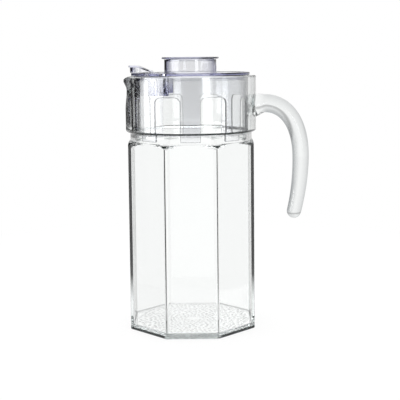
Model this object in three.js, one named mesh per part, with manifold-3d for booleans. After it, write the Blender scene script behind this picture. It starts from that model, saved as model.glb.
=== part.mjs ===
// Cold water jug: an octagonal pressed-glass vessel with a round collar and a small spout, a fused glass
// handle open at its lower end, and a clear plastic lid that drops into the collar.
// Millimetres, +Z up. The origin is on the jug's axis, on the surface that it stands on.
// The spout points along -X and the handle along +X.
import * as THREE from "three";
import { mergeVertices } from "three/addons/utils/BufferGeometryUtils.js";
import Module from "manifold-3d";

const wasm = await Module();
wasm.setup();

// Glass vessel, from the foot up.
const ACROSS_FLATS = 106; // octagon, at the top of the body
const FOOT_FLARE = 0.6; // how much further out each flat stands at the foot
const EDGE_RADIUS = 1.2; // rounding of the upright edges, outside
const INNER_EDGE_RADIUS = 2.4;
const BODY_WALL = 4;
const FLOOR_THICKNESS = 4.5;
const FOOT_FILLET = 2.2;
const FLOOR_FILLET = 2.4;
const BODY_HEIGHT = 158.5; // to where the upright edges start to round over
const SHOULDER_HEIGHT = 4;
const NECK_HEIGHT = 7.5; // groove between the shoulder and the collar
const NECK_RADIUS = 52.3;
const NECK_WALL = 3.1;
const COLLAR_HEIGHT = 47.3;
const COLLAR_OVERHANG = 3.7; // past the neck
const COLLAR_ROUND = 1.8; // rounding of the collar's lower edge and of the cove under it
const RIM_ROUND = 1.3;

// Spout: below the rim the collar is drawn in to a throat and then out and down to a lip, and a channel
// runs up the bore to it.
const SPOUT_OVERHANG = 1.4;
const SPOUT_DIP = 2.4;
const SPOUT_HEIGHT = 12; // lip, from the throat up to the rim
const SPOUT_HALF_ANGLE = 24; // degrees
const THROAT_DEPTH = 1.5;
const THROAT_HEIGHT = 16;
const CHANNEL_DEPTH = 2.2; // in the collar
const CHANNEL_LIP_DEPTH = 6; // at the rim

// Handle: a centre line of two curves that meet at the waist, measured out from the collar and down from the
// rim, and an oval section.
const HANDLE_ROOT_DROP = 26.7;
const HANDLE_CROWN_RUN = 20; // the upper curve leaves the collar by this much out
const HANDLE_CROWN_RISE = 8.4; // and this much up
const HANDLE_REACH = 38.8; // waist, out from the collar
const HANDLE_WAIST_DROP = 71.3;
const HANDLE_CROWN_BEND = 40; // how straight the upper curve comes down to the waist
const HANDLE_TAIL_BEND = 19; // how straight the lower curve leaves it
const HANDLE_TIP_REACH = 31.7;
const HANDLE_TIP_DROP = 124.3;
const HANDLE_TIP_RUN = 4.3; // slant of the lower curve into the tip, out
const HANDLE_TIP_RISE = 16; // and up
const HANDLE_ROOT_DEPTH = 15.8; // thickness in the plane of the bend
const HANDLE_WAIST_DEPTH = 14.2;
const HANDLE_TIP_DEPTH = 12.2;
const HANDLE_ROOT_WIDTH = 19; // thickness across that plane
const HANDLE_WAIST_WIDTH = 17;
const HANDLE_TIP_WIDTH = 13;

// Lid.
const SEAT_GAP = 0.3; // what rests on a seat stands this far off it
const LID_SEAT = 1.5; // how far the plate reaches over the rim
const LID_THICKNESS = 2;
const LID_BEAD = 0.35; // the plate's edge stands this much proud
const KNOB_RADIUS = 22.2;
const KNOB_WALL = 1.6;
const KNOB_HEIGHT = 11.4; // tube, above the plate
const KNOB_FILLET = 1.2;
const CAP_OVERHANG = 2.2;
const CAP_THICKNESS = 1.6;
const PLUG_HEIGHT = 2; // how far the cap's plug goes into the tube
const PLUG_WALL = 1.4;
const PLUG_CLEARANCE = 0.3;

// Ice guard: a skirt with arched windows, on a spigot and four spring fingers under the lid.
const GUARD_CLEARANCE = 0.6; // to the narrowest part of the way in
const GUARD_WALL = 1.7;
const GUARD_BAND_HEIGHT = 17.2; // unbroken, above the windows
const GUARD_LEG_HEIGHT = 36.4;
const WINDOW_COUNT = 8;
const WINDOW_WIDTH = 21.5;
const WINDOW_ROUND = 5.5;
const SPIGOT_WALL = 1.5;
const SPIGOT_HEIGHT = 4;
const SPIGOT_CLEARANCE = 0.4;
const FINGER_HEIGHT = 15.8;
const FINGER_WIDTH = 7.4;
const FINGER_WALL = 2.8;
const FINGER_ANGLES = [50, 63]; // degrees from the spout, on both sides

// Pour flap: a bent sheet with side and front walls, hinged between two ears under the lid.
const FLAP_WALL = 1.5;
const FLAP_RISE = 6.6; // top of the lip over the lid's plate
const FLAP_LIP_LENGTH = 6.7; // level stretch behind the lip
const FLAP_SLOPE_LENGTH = 13.2; // from there down to the plate
const FLAP_OVERHANG = 1.8; // lip, past the plate's edge
const LIP_OVERHANG = 1.1; // lip, past the flap's front wall
const FLAP_WIDTH = 27;
const TAIL_WIDTH = 15; // between the ears
const TAIL_DROP = 0.6; // how far the tail lies under the plate's top, where it goes into the window
const HINGE_SETBACK = 3.1; // axis, out from the knob's cap
const HINGE_DROP = 2.2; // axis, below the plate's top
const HINGE_RADIUS = 1.6;
const STUD_RADIUS = 0.9;
const STUD_LENGTH = 2.4;
const STUD_CLEARANCE = 0.3;
const EAR_WALL = 3;
const EAR_LENGTH = 9;
const EAR_HEIGHT = 2.8; // below the plate
const EAR_CLEARANCE = 0.4;
const POUR_WINDOW_MARGIN = 1; // from the spigot
const POUR_WINDOW_ROUND = 2;

// Facets.
const RING_STEPS = 64;
const LID_STEPS = 64;
const CAP_STEPS = 48;
const HANDLE_STEPS = 24;
const HANDLE_SIDES = 16;
const TIP_STEPS = 4;

// Sizes that follow from those.
const FACE_ANGLE = Math.PI / 4;
const NECK_Z = BODY_HEIGHT + SHOULDER_HEIGHT;
const COLLAR_Z = NECK_Z + NECK_HEIGHT;
const RIM_Z = COLLAR_Z + COLLAR_HEIGHT;
const THROAT_Z = RIM_Z - SPOUT_HEIGHT;
const BORE = NECK_RADIUS - NECK_WALL;
const COLLAR_RADIUS = NECK_RADIUS + COLLAR_OVERHANG;
const LID_RADIUS = BORE + LID_SEAT;
const LID_UNDER = RIM_Z + SEAT_GAP;
const LID_TOP = LID_UNDER + LID_THICKNESS;
const KNOB_TOP = LID_TOP + KNOB_HEIGHT;
const CAP_RADIUS = KNOB_RADIUS + CAP_OVERHANG;
const WAY_IN = Math.min(BORE, ACROSS_FLATS / 2 - BODY_WALL); // past the bore and the body's flats
const GUARD_RADIUS = WAY_IN - GUARD_CLEARANCE;
const GUARD_TOP = LID_UNDER - SEAT_GAP;
const WINDOW_TOP = GUARD_TOP - GUARD_BAND_HEIGHT;
const GUARD_FOOT = WINDOW_TOP - GUARD_LEG_HEIGHT;
const SPIGOT_RADIUS = GUARD_RADIUS - GUARD_WALL - SPIGOT_CLEARANCE;
const HINGE_X = -CAP_RADIUS - HINGE_SETBACK;
const HINGE_Z = LID_TOP - HINGE_DROP;
const FLAP_FOOT = LID_TOP + LID_BEAD + SEAT_GAP;
const FLAP_TOP = LID_TOP + FLAP_RISE;
const LIP_RADIUS = LID_RADIUS + FLAP_OVERHANG;
const KNEE_X = -LIP_RADIUS + FLAP_LIP_LENGTH;
const SLOPE_END_X = KNEE_X + FLAP_SLOPE_LENGTH;
const EAR_INNER = TAIL_WIDTH / 2 + EAR_CLEARANCE;

const smooth = THREE.MathUtils.smoothstep;
const radians = THREE.MathUtils.degToRad;

// The octagon seen from its centre: a flat's distance grows towards the rounded corners.
function octagonRadius(flat, rounding, angle) {
  const half = FACE_ANGLE / 2;
  const fromFace = Math.abs(angle - FACE_ANGLE * Math.round(angle / FACE_ANGLE));
  const flatEnd = Math.atan(((flat - rounding) * Math.tan(half)) / flat);
  if (fromFace <= flatEnd) return flat / Math.cos(fromFace);
  const centre = (flat - rounding) / Math.cos(half);
  const fromCorner = half - fromFace;
  const across = centre * Math.sin(fromCorner);
  return centre * Math.cos(fromCorner) + Math.sqrt(rounding * rounding - across * across);
}

// A bell of height 1 at the spout that falls to nothing at its sides.
function spoutBell(angle) {
  const off = Math.abs(Math.PI - angle) / radians(SPOUT_HALF_ANGLE);
  return off < 1 ? Math.cos((off * Math.PI) / 2) ** 2 : 0;
}

// A quarter turn from one [radius, z] point to another, as the points after the first. It leaves the first
// point level or upright.
function quarter([r0, z0], [r1, z1], levelFirst, steps = 3) {
  return Array.from({ length: steps }, (_, i) => {
    const turn = ((i + 1) / steps) * (Math.PI / 2);
    const early = Math.sin(turn);
    const late = 1 - Math.cos(turn);
    return [r0 + (r1 - r0) * (levelFirst ? early : late), z0 + (z1 - z0) * (levelFirst ? late : early)];
  });
}

// Points of the vessel's profile. A round one has a radius, an octagonal one the distance of its flats.
const flatAt = (z) => ACROSS_FLATS / 2 + FOOT_FLARE * (1 - z / BODY_HEIGHT);
const round = ([radius, z]) => ({ flat: Infinity, radius, z });
const octagonal = ([flat, z]) => ({ flat, radius: Infinity, z });

// The shoulder trims the prism's edges like a sharpened pencil: its round radius falls to the neck's.
function shoulder(wall, neck) {
  const drop = wall * Math.tan(FACE_ANGLE / 2);
  const widest = (ACROSS_FLATS / 2 - wall) / Math.cos(FACE_ANGLE / 2);
  const start = BODY_HEIGHT - drop;
  const turn = quarter([widest, start], [neck, NECK_Z - drop], false, 6);
  const trimmed = turn.map(([radius, z]) => ({ flat: flatAt(Math.min(z, BODY_HEIGHT)) - wall, radius, z }));
  return [octagonal([flatAt(start) - wall, start]), ...trimmed];
}

function outsideProfile() {
  const foot = flatAt(0);
  const cove = [NECK_RADIUS, COLLAR_Z - COLLAR_ROUND];
  const edge = [COLLAR_RADIUS - COLLAR_ROUND, COLLAR_Z];
  const rim = [COLLAR_RADIUS, RIM_Z - RIM_ROUND];
  const collarRows = [THROAT_Z - THROAT_HEIGHT, THROAT_Z - THROAT_HEIGHT / 2, THROAT_Z];
  const lipRows = [0.25, 0.5, 0.75].map((share) => THROAT_Z + share * (rim[1] - THROAT_Z));
  return [
    octagonal([0, 0]),
    octagonal([foot - FOOT_FILLET, 0]),
    ...quarter([foot - FOOT_FILLET, 0], [foot, FOOT_FILLET], true).map(octagonal),
    ...shoulder(0, NECK_RADIUS),
    round(cove),
    ...quarter(cove, [NECK_RADIUS + COLLAR_ROUND, COLLAR_Z], false).map(round),
    round(edge),
    ...quarter(edge, [COLLAR_RADIUS, COLLAR_Z + COLLAR_ROUND], true).map(round),
    ...[...collarRows, ...lipRows].map((z) => round([COLLAR_RADIUS, z])),
    round(rim),
    ...quarter(rim, [COLLAR_RADIUS - RIM_ROUND, RIM_Z], false).map(round),
  ];
}

function insideProfile() {
  const wall = flatAt(FLOOR_THICKNESS) - BODY_WALL;
  const floorEdge = [wall - FLOOR_FILLET, FLOOR_THICKNESS];
  const rim = [BORE, RIM_Z - RIM_ROUND / 2];
  const lipRows = [0, 0.35, 0.7].map((share) => THROAT_Z + share * (rim[1] - THROAT_Z));
  return [
    octagonal([0, FLOOR_THICKNESS]),
    octagonal(floorEdge),
    ...quarter(floorEdge, [wall, FLOOR_THICKNESS + FLOOR_FILLET], true, 4).map(octagonal),
    ...shoulder(BODY_WALL, BORE),
    round([BORE, COLLAR_Z]),
    round([BORE, COLLAR_Z + COLLAR_ROUND * 4]),
    ...lipRows.map((z) => round([BORE, z])),
    round(rim),
    ...quarter(rim, [BORE + RIM_ROUND / 2, RIM_Z], false, 2).map(round),
  ];
}

// A profile point turned to an angle round the axis, with the spout and its channel drawn into it.
function vesselPoint({ flat, radius, z, inside }, angle) {
  const rounding = Math.min(inside ? INNER_EDGE_RADIUS : EDGE_RADIUS, flat / 2);
  const prism = flat > 0 && flat < Infinity ? octagonRadius(flat, rounding, angle) : flat;
  const lip = smooth(z, THROAT_Z, RIM_Z - RIM_ROUND);
  const throat = smooth(z, THROAT_Z - THROAT_HEIGHT, THROAT_Z) * (1 - lip);
  const climb = smooth(z, COLLAR_Z, COLLAR_Z + 4 * COLLAR_ROUND);
  const channel = CHANNEL_DEPTH * climb + (CHANNEL_LIP_DEPTH - CHANNEL_DEPTH) * lip;
  const drawn = inside ? channel : SPOUT_OVERHANG * lip - THROAT_DEPTH * throat;
  const bell = spoutBell(angle);
  const reach = Math.min(prism, radius) + bell * drawn;
  return [reach * Math.cos(angle), reach * Math.sin(angle), z - SPOUT_DIP * bell * lip];
}

// The vessel is a lathe whose rings follow vesselPoint in place of circles.
function vesselSolid() {
  const inside = insideProfile().map((point) => ({ ...point, inside: true }));
  const profile = [...outsideProfile(), ...inside.reverse()];
  const lathe = new THREE.LatheGeometry(profile.map(({ z }) => new THREE.Vector2(1, z)), RING_STEPS);
  const position = lathe.getAttribute("position");
  for (let i = 0; i < position.count; i++) {
    const step = Math.floor(i / profile.length) % RING_STEPS;
    position.setXYZ(i, ...vesselPoint(profile[i % profile.length], (step / RING_STEPS) * 2 * Math.PI));
  }
  return solid(lathe);
}

// A closed geometry as a solid that can be cut and joined, turned right side out where it has to be.
function solid(geometry) {
  const bare = new THREE.BufferGeometry().setAttribute("position", geometry.getAttribute("position"));
  const merged = mergeVertices(geometry.index ? bare.setIndex(geometry.index) : bare, 1e-4);
  const corners = merged.index.array;
  const faces = Array.from({ length: corners.length / 3 }, (_, i) => [...corners.slice(3 * i, 3 * i + 3)])
    .filter(([a, b, c]) => a !== b && b !== c && c !== a);
  const build = (list) => new wasm.Manifold(new wasm.Mesh({
    numProp: 3,
    vertProperties: merged.getAttribute("position").array,
    triVerts: new Uint32Array(list.flat()),
  }));
  const made = build(faces);
  return made.volume() > 0 ? made : build(faces.map(([a, b, c]) => [b, a, c]));
}

function geometryOf(piece) {
  const { vertProperties, triVerts } = piece.getMesh();
  const geometry = new THREE.BufferGeometry();
  geometry.setAttribute("position", new THREE.BufferAttribute(vertProperties, 3));
  geometry.setIndex(new THREE.BufferAttribute(triVerts, 1));
  geometry.computeVertexNormals();
  return geometry;
}

const polygon = (points) => new THREE.Shape(points.map(([x, y]) => new THREE.Vector2(x, y)));
const turned = (piece, degrees) => piece.rotate([0, 0, degrees]);
const union = (pieces) => pieces.reduce((whole, piece) => whole.add(piece));

// An outline of [radius, z] points that starts and ends on the axis or closes on itself, turned about +Z.
function revolve(outline, steps) {
  const closed = outline[0][0] === 0 ? outline : [...outline, outline[0]];
  const lathe = new THREE.LatheGeometry(closed.map(([r, z]) => new THREE.Vector2(r, z)), steps);
  return solid(lathe.rotateX(Math.PI / 2));
}

// A ring of rectangular section.
function ring(inner, outer, from, to, steps = LID_STEPS) {
  return revolve([[inner, from], [outer, from], [outer, to], [inner, to]], steps);
}

// A shape in the X-Y plane, extruded between two heights.
function prism(shape, from, to) {
  const depth = to - from;
  const geometry = new THREE.ExtrudeGeometry(shape, { depth, bevelEnabled: false, curveSegments: 5 });
  return solid(geometry.translate(0, 0, from));
}

// A shape drawn in (X, Z), extruded across Y about the middle plane.
function slab(shape, width) {
  const geometry = new THREE.ExtrudeGeometry(shape, { depth: width, bevelEnabled: false, curveSegments: 5 });
  return solid(geometry.translate(0, 0, -width / 2).rotateX(Math.PI / 2));
}

function block([x0, x1], [y0, y1], [z0, z1]) {
  const box = new THREE.BoxGeometry(x1 - x0, y1 - y0, z1 - z0);
  return solid(box.translate((x0 + x1) / 2, (y0 + y1) / 2, (z0 + z1) / 2));
}

// A round bar on the hinge axis.
function hingeBar(radius, length) {
  return solid(new THREE.CylinderGeometry(radius, radius, length, 16).translate(HINGE_X, 0, HINGE_Z));
}

// The handle is a cylinder laid along its centre line, oval and tapered, with a domed tip. Its root is cut
// to the collar's curve.
function handleSolid() {
  const at = (reach, drop) => new THREE.Vector2(COLLAR_RADIUS + reach, RIM_Z - drop);
  const root = at(-COLLAR_OVERHANG, HANDLE_ROOT_DROP);
  const waist = at(HANDLE_REACH, HANDLE_WAIST_DROP);
  const tip = at(HANDLE_TIP_REACH, HANDLE_TIP_DROP);
  const offset = (point, x, z) => new THREE.Vector2(point.x + x, point.y + z);
  const line = new THREE.CurvePath();
  const leaving = offset(root, HANDLE_CROWN_RUN, HANDLE_CROWN_RISE);
  line.add(new THREE.CubicBezierCurve(root, leaving, offset(waist, 0, HANDLE_CROWN_BEND), waist));
  const ending = offset(tip, HANDLE_TIP_RUN, HANDLE_TIP_RISE);
  line.add(new THREE.CubicBezierCurve(waist, offset(waist, 0, -HANDLE_TAIL_BEND), ending, tip));
  const length = line.getLength();
  const waistAt = line.getCurveLengths()[0] / length;
  const domeAt = 1 - HANDLE_TIP_DEPTH / 2 / length;
  const rows = HANDLE_STEPS + TIP_STEPS;
  const along = (row) => {
    if (row <= HANDLE_STEPS) return (row / HANDLE_STEPS) * domeAt;
    return domeAt + (1 - domeAt) * Math.sin(((row - HANDLE_STEPS) / TIP_STEPS) * (Math.PI / 2));
  };
  const taper = (t, start, middle, end) => t < waistAt
    ? THREE.MathUtils.lerp(start, middle, smooth(t, 0, waistAt))
    : THREE.MathUtils.lerp(middle, end, (t - waistAt) / (1 - waistAt));
  const tube = new THREE.CylinderGeometry(1, 1, 1, HANDLE_SIDES, rows);
  const position = tube.getAttribute("position");
  for (let i = 0; i < position.count; i++) {
    const t = along(Math.round((0.5 - position.getY(i)) * rows));
    const into = Math.max(0, (t - domeAt) / (1 - domeAt));
    const dome = Math.sqrt(Math.max(0, 1 - into * into)) / 2;
    const depth = position.getX(i) * dome * taper(t, HANDLE_ROOT_DEPTH, HANDLE_WAIST_DEPTH, HANDLE_TIP_DEPTH);
    const width = position.getZ(i) * dome * taper(t, HANDLE_ROOT_WIDTH, HANDLE_WAIST_WIDTH, HANDLE_TIP_WIDTH);
    const centre = line.getPointAt(t);
    const heading = line.getTangentAt(t);
    position.setXYZ(i, centre.x - heading.y * depth, width, centre.y + heading.x * depth);
  }
  const seat = COLLAR_RADIUS + SEAT_GAP;
  const collar = revolve([[0, COLLAR_Z], [seat, COLLAR_Z], [seat, RIM_Z], [0, RIM_Z]], RING_STEPS);
  return solid(tube).subtract(collar);
}

// The lid's plate, the knob's tube and the spigot that the guard sits on are one turned moulding.
function coverTurning() {
  const inner = KNOB_RADIUS - KNOB_WALL;
  const spigotFoot = LID_UNDER - SPIGOT_HEIGHT;
  const edge = LID_THICKNESS / 3;
  return revolve([
    [inner, LID_UNDER],
    [SPIGOT_RADIUS - SPIGOT_WALL, LID_UNDER],
    [SPIGOT_RADIUS - SPIGOT_WALL, spigotFoot],
    [SPIGOT_RADIUS, spigotFoot],
    [SPIGOT_RADIUS, LID_UNDER],
    [LID_RADIUS - edge, LID_UNDER],
    [LID_RADIUS, LID_UNDER + edge],
    [LID_RADIUS, LID_TOP + LID_BEAD - edge],
    [LID_RADIUS - edge, LID_TOP + LID_BEAD],
    [LID_RADIUS - 2 * edge, LID_TOP + LID_BEAD],
    [LID_RADIUS - 3 * edge, LID_TOP],
    [KNOB_RADIUS + KNOB_FILLET, LID_TOP],
    ...quarter([KNOB_RADIUS + KNOB_FILLET, LID_TOP], [KNOB_RADIUS, LID_TOP + KNOB_FILLET], true),
    [KNOB_RADIUS, KNOB_TOP],
    [inner, KNOB_TOP],
  ], LID_STEPS);
}

// Spring fingers run down from the spigot on both sides of the spout.
function coverFingers() {
  const foot = LID_UNDER - FINGER_HEIGHT;
  const finger = block(
    [SPIGOT_RADIUS - FINGER_WALL, SPIGOT_RADIUS],
    [-FINGER_WIDTH / 2, FINGER_WIDTH / 2],
    [foot, LID_UNDER + LID_THICKNESS / 2],
  );
  const places = FINGER_ANGLES.flatMap((angle) => [180 - angle, 180 + angle]);
  const inside = [[0, foot], [SPIGOT_RADIUS, foot], [SPIGOT_RADIUS, LID_TOP], [0, LID_TOP]];
  return union(places.map((angle) => turned(finger, angle))).intersect(revolve(inside, LID_STEPS));
}

// Two ears under the plate, beside the pour window, with a socket through each for the flap's studs.
function coverEars() {
  const z = [LID_UNDER - EAR_HEIGHT, LID_UNDER + LID_THICKNESS / 2];
  const x = [HINGE_X - EAR_LENGTH / 2, HINGE_X + EAR_LENGTH / 2];
  const outer = EAR_INNER + EAR_WALL;
  return block(x, [-outer, -EAR_INNER], z).add(block(x, [EAR_INNER, outer], z));
}

// The window that the flap closes, from just inside the spigot to just past the hinge.
function pourWindow() {
  const x0 = -SPIGOT_RADIUS + SPIGOT_WALL + POUR_WINDOW_MARGIN;
  const x1 = HINGE_X + HINGE_RADIUS + EAR_CLEARANCE;
  const r = POUR_WINDOW_ROUND;
  const outline = new THREE.Shape();
  outline.moveTo(x1, -EAR_INNER);
  outline.lineTo(x1, EAR_INNER);
  outline.absarc(x0 + r, EAR_INNER - r, r, Math.PI / 2, Math.PI, false);
  outline.absarc(x0 + r, -EAR_INNER + r, r, Math.PI, 1.5 * Math.PI, false);
  outline.closePath();
  return prism(outline, LID_UNDER - LID_THICKNESS, LID_TOP + LID_THICKNESS);
}

function coverSolid() {
  const sockets = hingeBar(STUD_RADIUS + STUD_CLEARANCE, 2 * (EAR_INNER + EAR_WALL + STUD_CLEARANCE));
  return union([coverTurning(), coverFingers(), coverEars()]).subtract(pourWindow()).subtract(sockets);
}

// The knob's cap: an overhanging disc with a plug ring that presses into the tube.
function capSolid() {
  const under = KNOB_TOP + SEAT_GAP;
  const plug = KNOB_RADIUS - KNOB_WALL - PLUG_CLEARANCE;
  const edge = CAP_THICKNESS / 2;
  return revolve([
    [0, under],
    [plug - PLUG_WALL, under],
    [plug - PLUG_WALL, under - PLUG_HEIGHT],
    [plug, under - PLUG_HEIGHT],
    [plug, under],
    [CAP_RADIUS - edge, under],
    ...quarter([CAP_RADIUS - edge, under], [CAP_RADIUS, under + edge], true, 2),
    ...quarter([CAP_RADIUS, under + edge], [CAP_RADIUS - edge, under + CAP_THICKNESS], false, 2),
    [0, under + CAP_THICKNESS],
  ], CAP_STEPS);
}

// The guard: a ring with a leg at the spout and all round, between arched windows that are open below.
function guardSolid() {
  const half = WINDOW_WIDTH / 2;
  const spring = WINDOW_TOP - WINDOW_ROUND;
  const arch = new THREE.Shape();
  arch.moveTo(-half, GUARD_FOOT - WINDOW_ROUND);
  arch.lineTo(half, GUARD_FOOT - WINDOW_ROUND);
  arch.absarc(half - WINDOW_ROUND, spring, WINDOW_ROUND, 0, Math.PI / 2, false);
  arch.absarc(-half + WINDOW_ROUND, spring, WINDOW_ROUND, Math.PI / 2, Math.PI, false);
  arch.closePath();
  const cutter = slab(arch, GUARD_RADIUS).translate([0, GUARD_RADIUS, 0]);
  const pitch = 360 / WINDOW_COUNT;
  const windows = Array.from({ length: WINDOW_COUNT }, (_, k) => turned(cutter, (k + 0.5) * pitch));
  return ring(GUARD_RADIUS - GUARD_WALL, GUARD_RADIUS, GUARD_FOOT, GUARD_TOP).subtract(union(windows));
}

// The flap seen from above: a tail between the ears that flares to a round lip, drawn in by an inset.
function flapPlan(inset) {
  const radius = LIP_RADIUS - (inset ? LIP_OVERHANG + inset : 0);
  const half = FLAP_WIDTH / 2 - inset;
  const tail = TAIL_WIDTH / 2 - inset;
  const spread = Math.asin(half / radius);
  const flareEnd = Math.max(KNEE_X, -radius * Math.cos(spread));
  const plan = new THREE.Shape();
  plan.moveTo(SLOPE_END_X, -tail);
  plan.lineTo(SLOPE_END_X, tail);
  plan.lineTo(flareEnd, half);
  plan.absarc(0, 0, radius, Math.PI - spread, Math.PI + spread, false);
  plan.lineTo(flareEnd, -half);
  plan.closePath();
  return prism(plan, LID_UNDER, 2 * FLAP_TOP - LID_UNDER);
}

// The wedge over the plate: what lies between the plate and the sheet's top, less the room under the sheet.
function flapHood() {
  const slopeEnd = FLAP_FOOT + FLAP_WALL;
  const top = [[-LIP_RADIUS, FLAP_TOP], [KNEE_X, FLAP_TOP], [SLOPE_END_X, slopeEnd]];
  const under = top.map(([x, z]) => [x, z - FLAP_WALL]);
  const hood = polygon([...top, [SLOPE_END_X, FLAP_FOOT], [-LIP_RADIUS, FLAP_FOOT]]);
  const room = polygon([...under, [SLOPE_END_X, LID_UNDER], [-LIP_RADIUS, LID_UNDER]]);
  const front = ring(LIP_RADIUS - LIP_OVERHANG, 2 * LIP_RADIUS, LID_UNDER, FLAP_TOP - FLAP_WALL);
  return slab(hood, FLAP_WIDTH)
    .intersect(flapPlan(0))
    .subtract(slab(room, FLAP_WIDTH).intersect(flapPlan(FLAP_WALL)))
    .subtract(front);
}

// The tail runs down through the pour window to the hinge barrel.
function flapTail() {
  const bend = [(SLOPE_END_X + HINGE_X) / 2, LID_TOP - TAIL_DROP];
  const top = [[SLOPE_END_X, FLAP_FOOT + FLAP_WALL], bend, [HINGE_X, HINGE_Z + FLAP_WALL / 2]];
  const under = top.map(([x, z]) => [x, z - FLAP_WALL]).reverse();
  return slab(polygon([...top, ...under]), TAIL_WIDTH);
}

function flapSolid() {
  const studs = hingeBar(STUD_RADIUS, TAIL_WIDTH + 2 * STUD_LENGTH);
  return union([flapHood(), flapTail(), hingeBar(HINGE_RADIUS, TAIL_WIDTH), studs]);
}

// Finishes.
const glass = { color: 0xe9f1ee, roughness: 0.03, metalness: 0 };
const clearPlastic = { color: 0xdfe2f0, roughness: 0.06, metalness: 0 };

const jug = new THREE.Group();
function place(name, piece, finish) {
  const mesh = new THREE.Mesh(geometryOf(piece), new THREE.MeshStandardMaterial(finish));
  mesh.name = name;
  jug.add(mesh);
}

place("jug_body", vesselSolid(), glass);
place("handle", handleSolid(), glass);
place("lid_cover", coverSolid(), clearPlastic);
place("knob_cap", capSolid(), clearPlastic);
place("ice_guard", guardSolid(), clearPlastic);
place("pour_flap", flapSolid(), clearPlastic);

export default jug;
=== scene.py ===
"""Cold water jug: an octagonal pressed-glass jug with a clear plastic lid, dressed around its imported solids.

Metres, +Z up, the spout along -X and the handle along +X. The jug's and the lid's sizes are millimetres, as
in the part's own source, and turn into metres where a mesh is made. Angles in fields are degrees.
"""
import logging
import math
from collections.abc import Iterable, Iterator, Sequence
from contextlib import contextmanager
from dataclasses import dataclass, field, replace
from enum import Enum

import bmesh
import bpy
import numpy as np
from mathutils import Matrix, Vector


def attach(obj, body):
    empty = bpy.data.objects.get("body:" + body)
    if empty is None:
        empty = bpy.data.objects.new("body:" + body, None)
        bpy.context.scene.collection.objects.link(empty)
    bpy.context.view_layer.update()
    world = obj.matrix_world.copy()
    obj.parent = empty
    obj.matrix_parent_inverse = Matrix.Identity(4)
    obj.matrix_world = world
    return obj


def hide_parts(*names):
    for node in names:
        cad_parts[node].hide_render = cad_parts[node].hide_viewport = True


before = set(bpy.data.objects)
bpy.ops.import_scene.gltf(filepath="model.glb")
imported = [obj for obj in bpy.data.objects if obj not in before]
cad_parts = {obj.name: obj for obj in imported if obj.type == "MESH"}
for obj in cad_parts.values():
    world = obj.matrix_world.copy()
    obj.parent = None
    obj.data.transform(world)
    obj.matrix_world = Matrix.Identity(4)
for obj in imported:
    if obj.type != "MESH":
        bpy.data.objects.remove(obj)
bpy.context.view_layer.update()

LOG = logging.getLogger("jug")
MM = 0.001
WELD = 1e-7
SIDES = 8
FACE = 2 * math.pi / SIDES
ROUND_SHARE = 0.48
# Vertex marks that paint shade into the clear finishes: a soft shade, and dark shade lines along edges
SOFT_SHADE_MARK = "solid_glass"
LINE_SHADE_MARK = "folded_glass"

Point = tuple[float, float]
Corner = tuple[float, float, float]
Colour = tuple[float, float, float]
Piece = bpy.types.Object
Socket = bpy.types.NodeSocket
Material = bpy.types.Material


class Body(Enum):
    """The rigid bodies that pieces ride on."""

    JUG = "jug"
    LID = "lid"
    FLAP = "flap"


class Slot(Enum):
    """The record's material slots."""

    GLASS = "glass"
    PLASTIC = "clear_plastic"


class Cut(Enum):
    """How one solid changes another."""

    JOIN = "UNION"
    REMOVE = "DIFFERENCE"
    SHARE = "INTERSECT"


class Turn(Enum):
    """Which way a quarter round leaves its first point."""

    LEVEL = "level"
    UPRIGHT = "upright"


# Outlines


def smooth(value: np.ndarray | float, low: float, high: float) -> np.ndarray | float:
    """Eases from 0 at low to 1 at high."""
    share = np.clip((np.asarray(value, float) - low) / (high - low), 0, 1)
    return share * share * (3 - 2 * share)


def full_turn(steps: int) -> np.ndarray:
    """Even angles round the axis, in radians."""
    return np.arange(steps) / steps * 2 * math.pi


def quarter(start: Point, end: Point, turn: Turn, steps: int) -> list[Point]:
    """Joins two points by a quarter round.

    Args:
        start: The point before the round, which isn't repeated.
        end: The last point of the round.
        turn: Whether the round leaves its start level or upright.
        steps: How many points it gets.

    Returns:
        The points after the start.
    """
    points = []
    for step in range(1, steps + 1):
        angle = step / steps * math.pi / 2
        early, late = math.sin(angle), 1 - math.cos(angle)
        across, up = (early, late) if turn is Turn.LEVEL else (late, early)
        points.append((start[0] + (end[0] - start[0]) * across, start[1] + (end[1] - start[1]) * up))
    return points


def rounded(corners: Sequence[Corner], steps: int = 4) -> list[Point]:
    """Rounds the corners of an outline.

    Args:
        corners: Points as across, up and the radius of that corner.
        steps: How many pieces each round has.

    Returns:
        The outline's points with each round drawn out.
    """
    points: list[Point] = []
    for index, (x, z, radius) in enumerate(corners):
        if radius == 0:
            points.append((x, z))
            continue
        here = Vector((x, z))
        before = Vector(corners[index - 1][:2]) - here
        after = Vector(corners[(index + 1) % len(corners)][:2]) - here
        longest = ROUND_SHARE * min(before.length, after.length)
        reach = min(radius / math.tan(before.angle(after) / 2), longest)
        first, last = here + before.normalized() * reach, here + after.normalized() * reach
        for step in range(steps + 1):
            share = step / steps
            point = first.lerp(here, share).lerp(here.lerp(last, share), share)
            points.append((point.x, point.y))
    return points


def ring_points(reach: np.ndarray | float, angles: np.ndarray, z: np.ndarray | float) -> np.ndarray:
    """Points round the axis, at a distance and a height that may change with the angle."""
    return np.stack([reach * np.cos(angles), reach * np.sin(angles), z + 0 * angles], 1)


# Meshes


@contextmanager
def editing(mesh: bpy.types.Mesh) -> Iterator[bmesh.types.BMesh]:
    """Opens a mesh for changes and writes them back.

    Args:
        mesh: The mesh.

    Returns:
        What the changes are made on.
    """
    work = bmesh.new()
    work.from_mesh(mesh)
    yield work
    work.to_mesh(mesh)
    work.free()


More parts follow.
